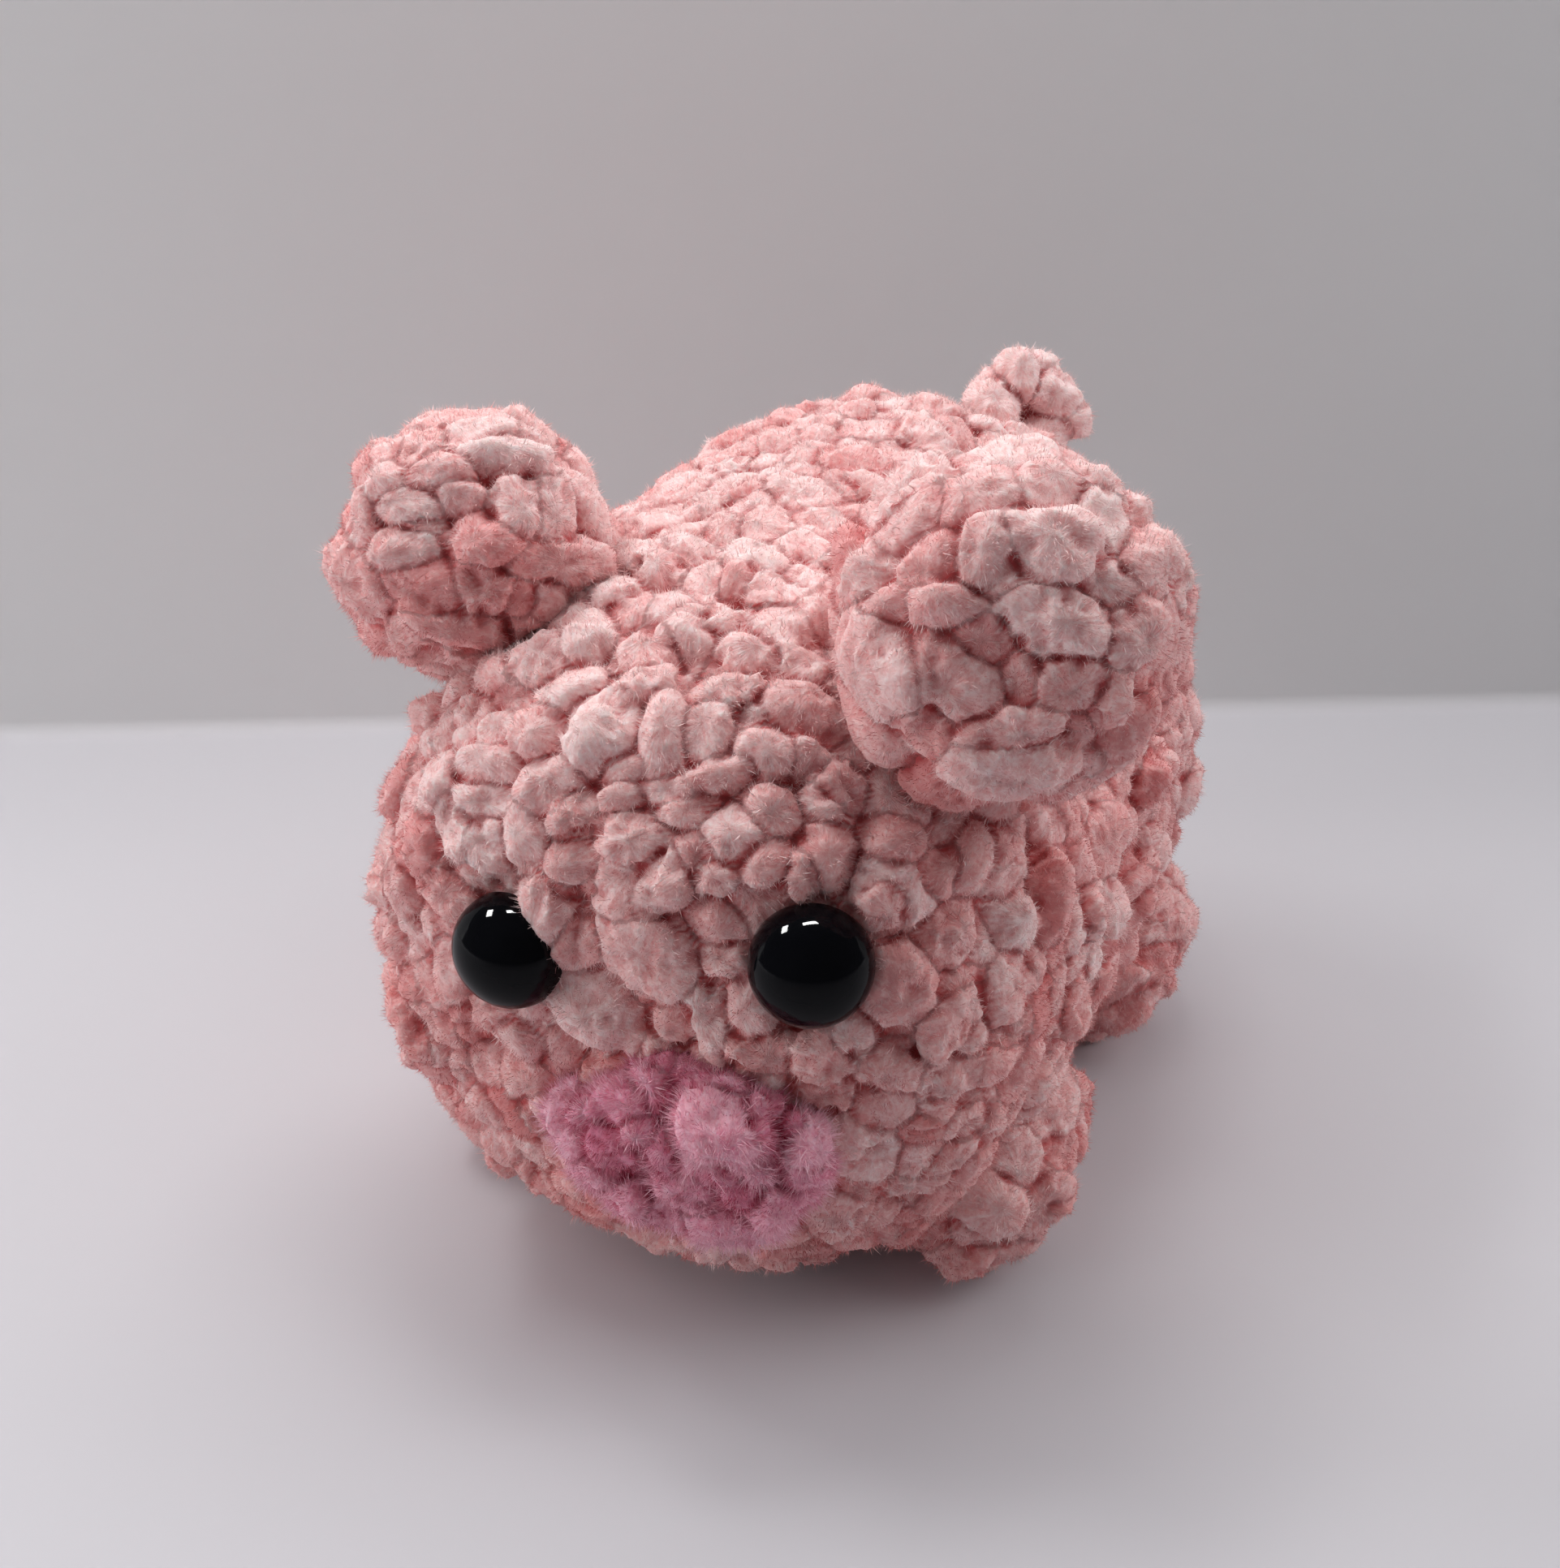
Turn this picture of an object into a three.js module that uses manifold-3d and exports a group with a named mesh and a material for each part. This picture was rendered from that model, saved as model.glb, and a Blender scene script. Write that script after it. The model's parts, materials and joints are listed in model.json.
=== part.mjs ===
// A small crocheted plush pig of thick chenille yarn: one stuffed, rounded-tube body that is head and trunk
// in one, a sewn-on snout, two ball ears, four knob feet, a curled tail and two plastic safety eyes, each
// locked inside the body by a washer. Millimetres, +Z up, the pig faces -Y and its left side is +X.
import * as THREE from "three";
import { mergeVertices } from "three/addons/utils/BufferGeometryUtils.js";
import Module from "manifold-3d";

// Body: a squared-off tube with rounded ends, lying along Y, nose a little down
const bodyHalfWidth = 38.9;
const bodyHalfHeight = 39.9;
const bodyHalfLength = 50.6;
const bodySquareness = 3.7;
const noseDownDegrees = 3.3;
const fabricWall = 6;
const closingHoleRadius = 3.2;

// Relief of the crocheted cover: its main stitches, in rounds from pole to pole, with creases between them
const stitchDepth = 1.6;
const stitchesInRound = 20;
const stitchRounds = 13;
const pressedHeight = 6;

// Gaps and cuts shared by every piece
const seatGap = 0.3;
const restCutDepth = 0.5;
const cutOverrun = 2;
const weldDistance = 0.0001;

// Face: its marks stand on a frame turned and shifted a little on the front of the body, as hand sewing left it.
// Places across it are shares of the body's half width, and places up it of the half height
const faceRollDegrees = 8.5;
const faceShiftShare = 0.1568;
const eyeAsideShare = 0.4087;
const eyeRiseShare = 0.2857;
const snoutDropShare = 0.2306;
const snoutAsideShare = 0.0334;

// Safety eyes, 12 mm
const eyeRadius = 6;
const eyeDomeHeight = 6.4;
const eyeRimHeight = 1.1;
const eyeSink = 1.4;
const stemRadius = 1.7;
const stemLength = 12;
const stemTipTaper = 0.7;
const ridgeHeight = 0.35;
const ridgePitch = 1.3;

// Locking washers
const washerRadius = 6.4;
const washerThickness = 1.1;
const washerHubRadius = 3.9;
const washerHubHeight = 0.9;
const washerTeeth = 6;
const washerToothDepth = 0.7;

// Snout: an oval crocheted disc with a thick rim, a shallow dish and a raised middle stitch
const snoutHalfWidth = 15;
const snoutHalfHeight = 12;
const snoutThickness = 5.6;
const snoutBacking = 4.5;
const snoutRimWidth = 5;
const snoutDish = 1.6;
const snoutNubRadius = 4.2;
const snoutNubHeight = 2.2;
const snoutNubRise = 2.6;
const snoutNubShift = 1.4;

// Ears: stuffed ball cups that face forward; the left one came out larger. Places along the body, here and for
// the feet and the tail, are shares of its half length, from its middle towards the rear
const leftEar = {
  radius: 16.8,
  halfDepth: 14.5,
  standOff: 12.5,
  alongShare: -0.4625,
  girthDegrees: 37.8,
  turnDegrees: 17,
  liftDegrees: 15,
};
const rightEar = {
  radius: 14.4,
  halfDepth: 13,
  standOff: 8.2,
  alongShare: -0.4348,
  girthDegrees: -35.4,
  turnDegrees: 8,
  liftDegrees: 29,
};
const earSquareness = 2.3;
const earNeckRadius = 6;
const earFlopDegrees = 15;

// Feet: solid yarn knobs low on the body's sides
const footRadius = 12.8;
const footHalfDepth = 10.9;
const footSquareness = 2.3;
const footAsideShare = 0.7044;
const footFrontShare = -0.3854;
const footBackShare = 0.5632;
const footDownDegrees = 25;

// Tail: a thick chain on the rear of the back that rises from its root and curls over to the left
const tailYarnRadius = 3.5;
const tailCurlRadius = 3.2;
const tailCurlHeight = 4;
const tailCurlAdvance = 5;
const tailCurlDegrees = 215;
const tailAlongShare = 0.85;
const tailGirthDegrees = 11;
const tailWagDegrees = 25;

// Closing knot at the rear pole
const knotRadius = 5.4;
const knotHeight = 2.6;

// Fineness of the meshes
const bodyGirthSteps = 44;
const bodyProfileSteps = 26;
const stitchSteps = 3;
const innerGirthSteps = 20;
const innerProfileSteps = 12;
const earGirthSteps = 28;
const earProfileSteps = 16;
const footGirthSteps = 20;
const footProfileSteps = 12;
const turnedSteps = 18;
const arcSteps = 6;
const cutSteps = 16;
const tailSteps = 14;
const tailSides = 9;

const wasm = await Module();
wasm.setup();

const degree = Math.PI / 180;
const quarterTurn = Math.PI / 2;
const fullTurn = Math.PI * 2;
const axisX = new THREE.Vector3(1, 0, 0);
const axisY = new THREE.Vector3(0, 1, 0);

const yarnPink = finish(0xe6a9a5, 0.95);
const snoutPink = finish(0xd989ac, 0.95);
const fibreWhite = finish(0xf1ede8, 1);
const eyeBlack = finish(0x0a0a0c, 0.08);
const washerWhite = finish(0xe8e6e0, 0.5);

function finish(color, roughness) {
  return new THREE.MeshStandardMaterial({ color, roughness, metalness: 0 });
}

// Solids for cutting and joining, and the way back to a drawn mesh

function solidFrom(geometry) {
  const bare = geometry.clone();
  bare.deleteAttribute("normal");
  bare.deleteAttribute("uv");
  const merged = mergeVertices(bare, weldDistance);
  return new wasm.Manifold(
    new wasm.Mesh({
      numProp: 3,
      vertProperties: new Float32Array(merged.attributes.position.array),
      triVerts: new Uint32Array(merged.index.array),
    }),
  );
}

function geometryFrom(solid) {
  const mesh = solid.getMesh();
  const geometry = new THREE.BufferGeometry();
  geometry.setAttribute("position", new THREE.BufferAttribute(mesh.vertProperties, 3));
  geometry.setIndex(new THREE.BufferAttribute(mesh.triVerts, 1));
  const drawn = geometry.toNonIndexed();
  drawn.computeVertexNormals();
  return drawn;
}

// A mesh whose solid was worked out in the body's frame, kept in its own frame and placed by it
function piece(name, solid, frame, material) {
  const geometry = geometryFrom(solid).applyMatrix4(frame.clone().invert());
  const mesh = new THREE.Mesh(geometry, material);
  mesh.name = name;
  mesh.applyMatrix4(frame);
  return mesh;
}

// Forms

// The arc between two turns about a middle, as outline points of radius and level
function arc([across, level], reach, rise, fromTurn, toTurn) {
  return Array.from({ length: arcSteps + 1 }, (unused, i) => {
    const turn = fromTurn + (i / arcSteps) * (toTurn - fromTurn);
    return [across + reach * Math.cos(turn), level + rise * Math.sin(turn)];
  });
}

// A form turned about Y from outline points of radius and level
function turned(outline, girthSteps = turnedSteps) {
  return new THREE.LatheGeometry(
    outline.map(([across, level]) => new THREE.Vector2(Math.max(across, 0), level)),
    girthSteps,
  );
}

// A plain round bar about Y, from one level to another
function bar(radius, from, to) {
  const outline = [
    [0, from],
    [radius, from],
    [radius, to],
    [0, to],
  ];
  return turned(outline, cutSteps);
}

// A squared-off oval about Y: across^n + along^n = 1, each as a share of its half size
function oval(halfWidth, halfLength, halfHeight, squareness, girthSteps, profileSteps) {
  const outline = Array.from({ length: profileSteps + 1 }, (unused, i) => {
    const turn = -quarterTurn + (i / profileSteps) * Math.PI;
    const across = i === 0 || i === profileSteps ? 0 : Math.cos(turn);
    const along = Math.sin(turn);
    const size = (Math.abs(across) ** squareness + Math.abs(along) ** squareness) ** (1 / squareness);
    return [across / size, (along / size) * halfLength];
  });
  return turned(outline, girthSteps).scale(halfWidth, 1, halfHeight);
}

// The body's form, grown or shrunk all round
function bodyForm(growth, girthSteps = bodyGirthSteps, profileSteps = bodyProfileSteps) {
  return oval(
    bodyHalfWidth + growth,
    bodyHalfLength + growth,
    bodyHalfHeight + growth,
    bodySquareness,
    girthSteps,
    profileSteps,
  );
}

// Places on the body, in the frame of its own axis

// The way out of the body at a point on it: the slope of across^n + along^n
function outwardAt(point) {
  const round = Math.hypot(point.x / bodyHalfWidth, point.z / bodyHalfHeight);
  const power = bodySquareness - 1;
  const sideways = round ** (power - 1);
  return new THREE.Vector3(
    (sideways * point.x) / bodyHalfWidth ** 2,
    (Math.sign(point.y) * Math.abs(point.y / bodyHalfLength) ** power) / bodyHalfLength,
    (sideways * point.z) / bodyHalfHeight ** 2,
  ).normalize();
}

// How far a place lies down into the crease round its stitch, from 0 on the crest to 1 in the crease. Each round
// starts a step further round, as a spiral does, and the rounds next to the poles have fewer stitches
function creaseAt({ x, y, z }) {
  const across = x / bodyHalfWidth;
  const up = z / bodyHalfHeight;
  const round = (Math.atan2(y / bodyHalfLength, Math.hypot(across, up)) / Math.PI + 1 / 2) * stitchRounds;
  const whole = Math.floor(round);
  const fromPole = Math.min(whole, stitchRounds - 1 - whole);
  const count = stitchesInRound / 2 ** Math.max(2 - fromPole, 0);
  const stitch = (Math.atan2(across, up) / fullTurn) * count + whole / stitchSteps;
  const highest = Math.sin(Math.PI / stitchSteps) ** 2;
  const crest = Math.abs(Math.sin(round * Math.PI) * Math.sin(stitch * Math.PI)) / highest;
  return 1 - Math.min(crest, 1);
}

// The cover's outer form: the body's, with the crests of its stitches on that form and the creases below it.
// The creases fade out towards the floor, where the pig's weight presses them flat
function stitchedForm(growth) {
  const form = bodyForm(growth, stitchesInRound * stitchSteps, stitchRounds * stitchSteps);
  const position = form.attributes.position;
  for (let i = 0; i < position.count; i++) {
    const point = new THREE.Vector3().fromBufferAttribute(position, i);
    const above = point.clone().applyMatrix4(bodyFrame).z / pressedHeight;
    const depth = stitchDepth * Math.min(Math.max(above, 0), 1);
    point.addScaledVector(outwardAt(point), -depth * creaseAt(point));
    position.setXYZ(i, point.x, point.y, point.z);
  }
  return form;
}

function onFront(x, z) {
  const round = Math.hypot(x / bodyHalfWidth, z / bodyHalfHeight);
  const y = -bodyHalfLength * (1 - round ** bodySquareness) ** (1 / bodySquareness);
  const point = new THREE.Vector3(x, y, z);
  return { point, outward: outwardAt(point) };
}

// A place round the girth, turned from the top towards the left side, at a share of the body's half length
function onGirth(turn, alongShare) {
  const round = (1 - Math.abs(alongShare) ** bodySquareness) ** (1 / bodySquareness);
  const point = new THREE.Vector3(
    bodyHalfWidth * round * Math.sin(turn),
    bodyHalfLength * alongShare,
    bodyHalfHeight * round * Math.cos(turn),
  );
  return { point, outward: outwardAt(point) };
}

// The face's own frame: shares across and up from its middle, turned by the roll
function onFace(acrossShare, upShare) {
  const roll = faceRollDegrees * degree;
  const across = bodyHalfWidth * (faceShiftShare + acrossShare);
  const up = bodyHalfHeight * upShare;
  const x = across * Math.cos(roll) - up * Math.sin(roll);
  const z = across * Math.sin(roll) + up * Math.cos(roll);
  return onFront(x, z);
}

// A frame whose Y axis points the given way and whose X axis lies as near as can be to a second one
function frameAt(point, yAxis, nearX = axisX) {
  const y = yAxis.clone().normalize();
  const x = nearX.clone().addScaledVector(y, -nearX.dot(y)).normalize();
  const z = new THREE.Vector3().crossVectors(x, y);
  return new THREE.Matrix4().makeBasis(x, y, z).setPosition(point);
}

function lowestOf(geometry) {
  geometry.computeBoundingBox();
  return geometry.boundingBox.min.z;
}

// The body leans nose down and is set so that its lowest stretch is cut flat on the floor
const pig = new THREE.Group();
const noseDown = new THREE.Matrix4().makeRotationX(noseDownDegrees * degree);
const bodyFrame = noseDown.clone().setPosition(0, 0, -lowestOf(bodyForm(0).applyMatrix4(noseDown)) - restCutDepth);
const toBody = bodyFrame.clone().invert();
const trunk = new THREE.Group();
trunk.applyMatrix4(bodyFrame);
pig.add(trunk);

// The room under the floor, for cutting the belly and the soles flat
const floorSpan = bodyHalfLength * 4;
const underFloor = solidFrom(
  new THREE.BoxGeometry(floorSpan, floorSpan, bodyHalfHeight)
    .translate(0, 0, -bodyHalfHeight / 2)
    .applyMatrix4(toBody),
);
const bodyRoom = solidFrom(stitchedForm(seatGap));

// Seams that bend: a sewn-on piece turns about a line through its seam, along an axis square to the surface

function seamAt(place, axis, rangeDegrees) {
  return { point: place.point, axis: axis.clone().normalize(), rangeDegrees };
}

// Cuts a piece clear of the body at both ends of its seam's turn, so that its root narrows to the seam
function clearOfBody(solid, seam) {
  const toSeam = new THREE.Matrix4().setPosition(seam.point);
  return [-seam.rangeDegrees, seam.rangeDegrees].reduce((left, turn) => {
    const about = new THREE.Matrix4().makeRotationAxis(seam.axis, turn * degree);
    const move = toSeam.clone().multiply(about).multiply(toSeam.clone().invert());
    return left.subtract(solidFrom(bodyForm(seatGap).applyMatrix4(move)));
  }, solid);
}

// Eyes

const eyePlaces = { left: onFace(eyeAsideShare, eyeRiseShare), right: onFace(-eyeAsideShare, eyeRiseShare) };

// Levels along an eye's stem, from the flat back of the eye, which the washer draws below the yarn's surface
const washerTop = eyeSink - fabricWall - seatGap;
const washerBottom = washerTop - washerThickness - washerHubHeight;
const boreRadius = stemRadius + ridgeHeight + seatGap;

function eyeFrame(place) {
  return frameAt(place.point.clone().addScaledVector(place.outward, -eyeSink), place.outward);
}

// Ridged stem, rim and dome, from the tip of the stem to the top of the dome
function eyeOutline() {
  const outline = [
    [0, -stemLength],
    [stemRadius - stemTipTaper, -stemLength],
    [stemRadius, -stemLength + stemTipTaper],
  ];
  const ridges = Math.floor((stemLength - stemTipTaper - eyeSink) / ridgePitch) - 1;
  for (let i = 1; i <= ridges; i++) {
    const foot = -stemLength + stemTipTaper + i * ridgePitch;
    outline.push([stemRadius, foot]);
    outline.push([stemRadius + ridgeHeight, foot + ridgeHeight]);
    outline.push([stemRadius, foot + ridgeHeight * 2]);
  }
  outline.push([stemRadius, 0], [eyeRadius, 0]);
  outline.push(...arc([0, eyeRimHeight], eyeRadius, eyeDomeHeight - eyeRimHeight, 0, quarterTurn).slice(0, -1));
  outline.push([0, eyeDomeHeight]);
  return outline;
}

// A flange with a raised hub whose bore has spring teeth
function washerForm() {
  const flange = turned([
    [0, washerBottom],
    [washerHubRadius, washerBottom],
    [washerHubRadius, washerBottom + washerHubHeight],
    [washerRadius, washerBottom + washerHubHeight],
    [washerRadius, washerTop],
    [0, washerTop],
  ]);
  const star = new THREE.Shape();
  const corners = washerTeeth * 2;
  for (let i = 0; i <= corners; i++) {
    const radius = i % 2 ? boreRadius + washerToothDepth : boreRadius;
    const turn = (i / corners) * fullTurn;
    const corner = [radius * Math.cos(turn), radius * Math.sin(turn)];
    if (i) star.lineTo(...corner);
    else star.moveTo(...corner);
  }
  const depth = washerTop - washerBottom + cutOverrun * 2;
  const bore = new THREE.ExtrudeGeometry(star, { depth, bevelEnabled: false });
  bore.rotateX(quarterTurn).translate(0, washerTop + cutOverrun, 0);
  return { flange, bore };
}

// Seat for the eye's back, hole for its stem and a pressed-in seat for the washer, cut through the yarn
function eyeCuts(frame) {
  return [
    bar(eyeRadius + seatGap, -seatGap, eyeDomeHeight + cutOverrun),
    bar(boreRadius, -stemLength, 0),
    bar(washerRadius + seatGap, -stemLength, washerTop + seatGap),
  ].map((form) => solidFrom(form.applyMatrix4(frame)));
}

// Room for the washer and the stem in the filling
function eyePocket(frame) {
  return [
    bar(washerRadius + seatGap, washerBottom - seatGap, cutOverrun),
    bar(boreRadius, -stemLength - seatGap, 0),
  ].map((form) => solidFrom(form.applyMatrix4(frame)));
}

function addEye(side, place) {
  const frame = eyeFrame(place);
  const eye = turned(eyeOutline()).applyMatrix4(frame);
  trunk.add(piece("eye_" + side, solidFrom(eye), frame, eyeBlack));
  const { flange, bore } = washerForm();
  const washer = solidFrom(flange.applyMatrix4(frame)).subtract(solidFrom(bore.applyMatrix4(frame)));
  trunk.add(piece("eye_washer_" + side, washer, frame, washerWhite));
}

// Body: cover, filling and the knot that draws up its last round

const knotSeat = bodyHalfLength - fabricWall - seatGap;

// A button of yarn inside and one outside, joined by a neck through the closing hole
function knotOutline() {
  const neck = closingHoleRadius - seatGap;
  const outer = bodyHalfLength + seatGap;
  return [
    [0, knotSeat - knotHeight],
    ...arc([0, knotSeat], knotRadius, knotHeight, -quarterTurn, 0).slice(1),
    [neck, knotSeat],
    [neck, outer],
    ...arc([0, outer], knotRadius, knotHeight, 0, quarterTurn).slice(0, -1),
    [0, outer + knotHeight],
  ];
}

function addBody() {
  const home = new THREE.Matrix4();
  const cavity = solidFrom(bodyForm(-fabricWall, innerGirthSteps, innerProfileSteps));
  const closingHole = solidFrom(bar(closingHoleRadius, 0, bodyHalfLength + cutOverrun));
  const frames = Object.values(eyePlaces).map(eyeFrame);
  const cover = [cavity, closingHole, underFloor, ...frames.flatMap(eyeCuts)].reduce(
    (left, cut) => left.subtract(cut),
    solidFrom(stitchedForm(0)),
  );
  const knotRoom = solidFrom(bar(knotRadius + seatGap, knotSeat - knotHeight - seatGap, bodyHalfLength));
  const filling = [knotRoom, ...frames.flatMap(eyePocket)].reduce(
    (left, cut) => left.subtract(cut),
    solidFrom(bodyForm(-fabricWall - seatGap, innerGirthSteps, innerProfileSteps)),
  );
  trunk.add(piece("body_cover", cover, home, yarnPink));
  trunk.add(piece("body_stuffing", filling, home, fibreWhite));
  trunk.add(piece("closing_knot", solidFrom(turned(knotOutline())), home, yarnPink));
}

function addSnout() {
  const place = onFace(snoutAsideShare, -snoutDropShare);
  const roll = faceRollDegrees * degree;
  const frame = frameAt(place.point, place.outward, new THREE.Vector3(Math.cos(roll), 0, Math.sin(roll)));
  const rimRound = snoutRimWidth / 2;
  const rimMiddle = [snoutHalfWidth - rimRound, snoutThickness - rimRound];
  const disc = turned([
    [0, -snoutBacking],
    [rimMiddle[0], -snoutBacking],
    ...arc(rimMiddle, rimRound, rimRound, 0, quarterTurn),
    [snoutHalfWidth - snoutRimWidth, snoutThickness - snoutDish],
    [0, snoutThickness - snoutDish],
  ]).scale(1, 1, snoutHalfHeight / snoutHalfWidth);
  const nub = oval(
    snoutNubRadius,
    snoutNubHeight + snoutDish,
    snoutNubRadius,
    2,
    turnedSteps / 2,
    arcSteps + 1,
  ).translate(snoutNubShift, snoutThickness - snoutDish, -snoutNubRise);
  const solid = solidFrom(disc.applyMatrix4(frame)).add(solidFrom(nub.applyMatrix4(frame))).subtract(bodyRoom);
  trunk.add(piece("snout", solid, frame, snoutPink));
}

function addEar(side, ear) {
  const place = onGirth(ear.girthDegrees * degree, ear.alongShare);
  const centre = place.point.clone().addScaledVector(place.outward, ear.standOff);
  const turn = ear.turnDegrees * degree;
  const lift = ear.liftDegrees * degree;
  const facing = new THREE.Vector3(
    Math.sin(turn) * Math.cos(lift),
    -Math.cos(turn) * Math.cos(lift),
    Math.sin(lift),
  );
  const frame = frameAt(centre, facing);
  const ball = (less, ...steps) =>
    oval(ear.radius - less, ear.halfDepth - less, ear.radius - less, earSquareness, ...steps).applyMatrix4(frame);
  const neckFrame = frameAt(centre, place.outward.clone().negate());
  const neck = (less) => bar(earNeckRadius - less, 0, ear.standOff + cutOverrun).applyMatrix4(neckFrame);
  const seam = seamAt(place, place.outward.clone().cross(facing), earFlopDegrees);
  const innerSteps = [innerGirthSteps, innerProfileSteps];
  const hollow = solidFrom(ball(fabricWall, ...innerSteps)).add(solidFrom(neck(0)));
  const wad = solidFrom(ball(fabricWall + seatGap, ...innerSteps)).add(solidFrom(neck(seatGap)));
  const cover = solidFrom(ball(0, earGirthSteps, earProfileSteps)).subtract(hollow);
  trunk.add(piece("ear_" + side, clearOfBody(cover, seam), frame, yarnPink));
  trunk.add(piece("ear_stuffing_" + side, clearOfBody(wad, seam), frame, fibreWhite));
  return seam;
}

function addFoot(end, side) {
  const way = side === "left" ? 1 : -1;
  const y = bodyHalfLength * (end === "front" ? footFrontShare : footBackShare);
  const down = footDownDegrees * degree;
  const outward = new THREE.Vector3(way * Math.cos(down), 0, -Math.sin(down));
  const knob = oval(footRadius, footHalfDepth, footRadius, footSquareness, footGirthSteps, footProfileSteps);
  const sole = lowestOf(knob.clone().applyMatrix4(frameAt(new THREE.Vector3(), outward, axisY)));
  const centre = new THREE.Vector3(way * bodyHalfWidth * footAsideShare, y, -sole - restCutDepth);
  const frame = toBody.clone().multiply(frameAt(centre, outward, axisY));
  const solid = solidFrom(knob.applyMatrix4(frame)).subtract(bodyRoom).subtract(underFloor);
  trunk.add(piece("foot_" + end + "_" + side, solid, frame, yarnPink));
}

// A thick chain that stands on its root, then curls over to the left while it runs back along the body
function addTail() {
  const place = onGirth(tailGirthDegrees * degree, tailAlongShare);
  const frame = frameAt(place.point, place.outward);
  const curlPoint = (share) => {
    const turn = share * tailCurlDegrees * degree;
    return new THREE.Vector3(
      tailCurlRadius * (1 - Math.cos(turn)),
      tailCurlHeight + tailCurlRadius * Math.sin(turn),
      -tailCurlAdvance * share,
    );
  };
  const curl = Array.from({ length: tailSteps - 1 }, (unused, i) => curlPoint(i / (tailSteps - 2)));
  const points = [new THREE.Vector3(), new THREE.Vector3(0, tailCurlHeight / 2, 0), ...curl];
  const section = new THREE.Shape().absarc(0, 0, tailYarnRadius, 0, fullTurn);
  const chain = new THREE.ExtrudeGeometry(section, {
    steps: tailSteps,
    curveSegments: tailSides,
    bevelEnabled: false,
    extrudePath: new THREE.CatmullRomCurve3(points),
  });
  const ends = [points[0], points[points.length - 1]].map((point) =>
    new THREE.SphereGeometry(tailYarnRadius, tailSides, tailSides).translate(...point.toArray()),
  );
  const whole = [chain, ...ends]
    .map((form) => solidFrom(form.applyMatrix4(frame)))
    .reduce((joined, form) => joined.add(form));
  const seam = seamAt(place, axisY.clone().addScaledVector(place.outward, -place.outward.y), tailWagDegrees);
  trunk.add(piece("tail", clearOfBody(whole, seam), frame, yarnPink));
  return seam;
}

addBody();
for (const [side, place] of Object.entries(eyePlaces)) addEye(side, place);
addSnout();
const seams = {
  ear_left_flop: addEar("left", leftEar),
  ear_right_flop: addEar("right", rightEar),
  tail_wag: addTail(),
};
for (const end of ["front", "back"]) {
  for (const side of ["left", "right"]) addFoot(end, side);
}

// The origin lies on the floor, under the middle of the pig's outer box
pig.updateMatrixWorld(true);
const outer = new THREE.Box3().setFromObject(pig, true);
const middle = outer.getCenter(new THREE.Vector3());
pig.position.set(-middle.x, -middle.y, 0);
pig.updateMatrixWorld(true);

// Each bending seam as a line in the pig's own frame, with the angle that it gives each way
pig.userData.seams = Object.fromEntries(
  Object.entries(seams).map(([name, seam]) => [
    name,
    {
      point: seam.point.clone().applyMatrix4(trunk.matrixWorld).toArray(),
      axis: seam.axis.clone().transformDirection(trunk.matrixWorld).toArray(),
      rangeDegrees: [-seam.rangeDegrees, seam.rangeDegrees],
    },
  ]),
);

export default pig;
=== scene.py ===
# A small plush pig crocheted from thick chenille yarn: every stitch is a plump lobe with short pile on it.
# Shapes are worked out in millimetres and put into meshes in metres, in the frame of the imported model.
import json
import math

import bmesh
import bpy
import numpy as np
from mathutils import Matrix


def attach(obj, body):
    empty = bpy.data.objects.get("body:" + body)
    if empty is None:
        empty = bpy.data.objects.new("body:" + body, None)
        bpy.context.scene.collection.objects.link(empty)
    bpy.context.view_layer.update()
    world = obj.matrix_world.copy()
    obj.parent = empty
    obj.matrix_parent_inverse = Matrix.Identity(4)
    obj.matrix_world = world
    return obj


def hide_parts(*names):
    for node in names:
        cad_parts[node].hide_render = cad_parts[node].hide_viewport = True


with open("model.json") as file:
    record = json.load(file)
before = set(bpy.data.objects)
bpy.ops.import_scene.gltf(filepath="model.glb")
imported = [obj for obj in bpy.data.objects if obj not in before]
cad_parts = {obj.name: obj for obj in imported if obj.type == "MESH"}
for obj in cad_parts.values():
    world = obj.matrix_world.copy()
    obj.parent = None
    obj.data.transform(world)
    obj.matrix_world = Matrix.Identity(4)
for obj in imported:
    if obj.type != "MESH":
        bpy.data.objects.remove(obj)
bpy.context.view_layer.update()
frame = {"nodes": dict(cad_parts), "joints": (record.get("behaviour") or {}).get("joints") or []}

mm = 0.001
fullTurn = 2 * math.pi
quarterTurn = math.pi / 2


def placeOf(turn, point):  # a 4 by 4 place from a 3 by 3 turn and a point
    place = np.eye(4)
    place[:3, :3], place[:3, 3] = turn, point
    return place


def linked(name, data, place=None):  # an object in the scene
    thing = bpy.data.objects.new(name, data)
    bpy.context.scene.collection.objects.link(thing)
    if place is not None:
        thing.matrix_world = Matrix(place.tolist())
    return thing


# Camera

cameraView = {
    "azimuth": 23.5,  # degrees round the pig, 0 looks along +Y
    "elevation": 28.83,
    "roll": -0.54,
    "distance": 253.8,
    "target": (-6.533, 2.2305, 40.4),
    "focalPixels": 2660,
    "frameSize": (1922, 1932),
    "shiftPixels": (-10, 15),
    "sensor": 36,
}


def cameraAxes(view):  # right, up and back of the camera, as rows
    azimuth, elevation, roll = (math.radians(view[k]) for k in ("azimuth", "elevation", "roll"))
    back = np.array([
        math.sin(azimuth) * math.cos(elevation),
        -math.cos(azimuth) * math.cos(elevation),
        math.sin(elevation),
    ])
    right = np.array([math.cos(azimuth), math.sin(azimuth), 0])
    up = np.cross(back, right)
    return np.array([
        math.cos(roll) * right + math.sin(roll) * up,
        -math.sin(roll) * right + math.cos(roll) * up,
        back,
    ])


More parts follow.
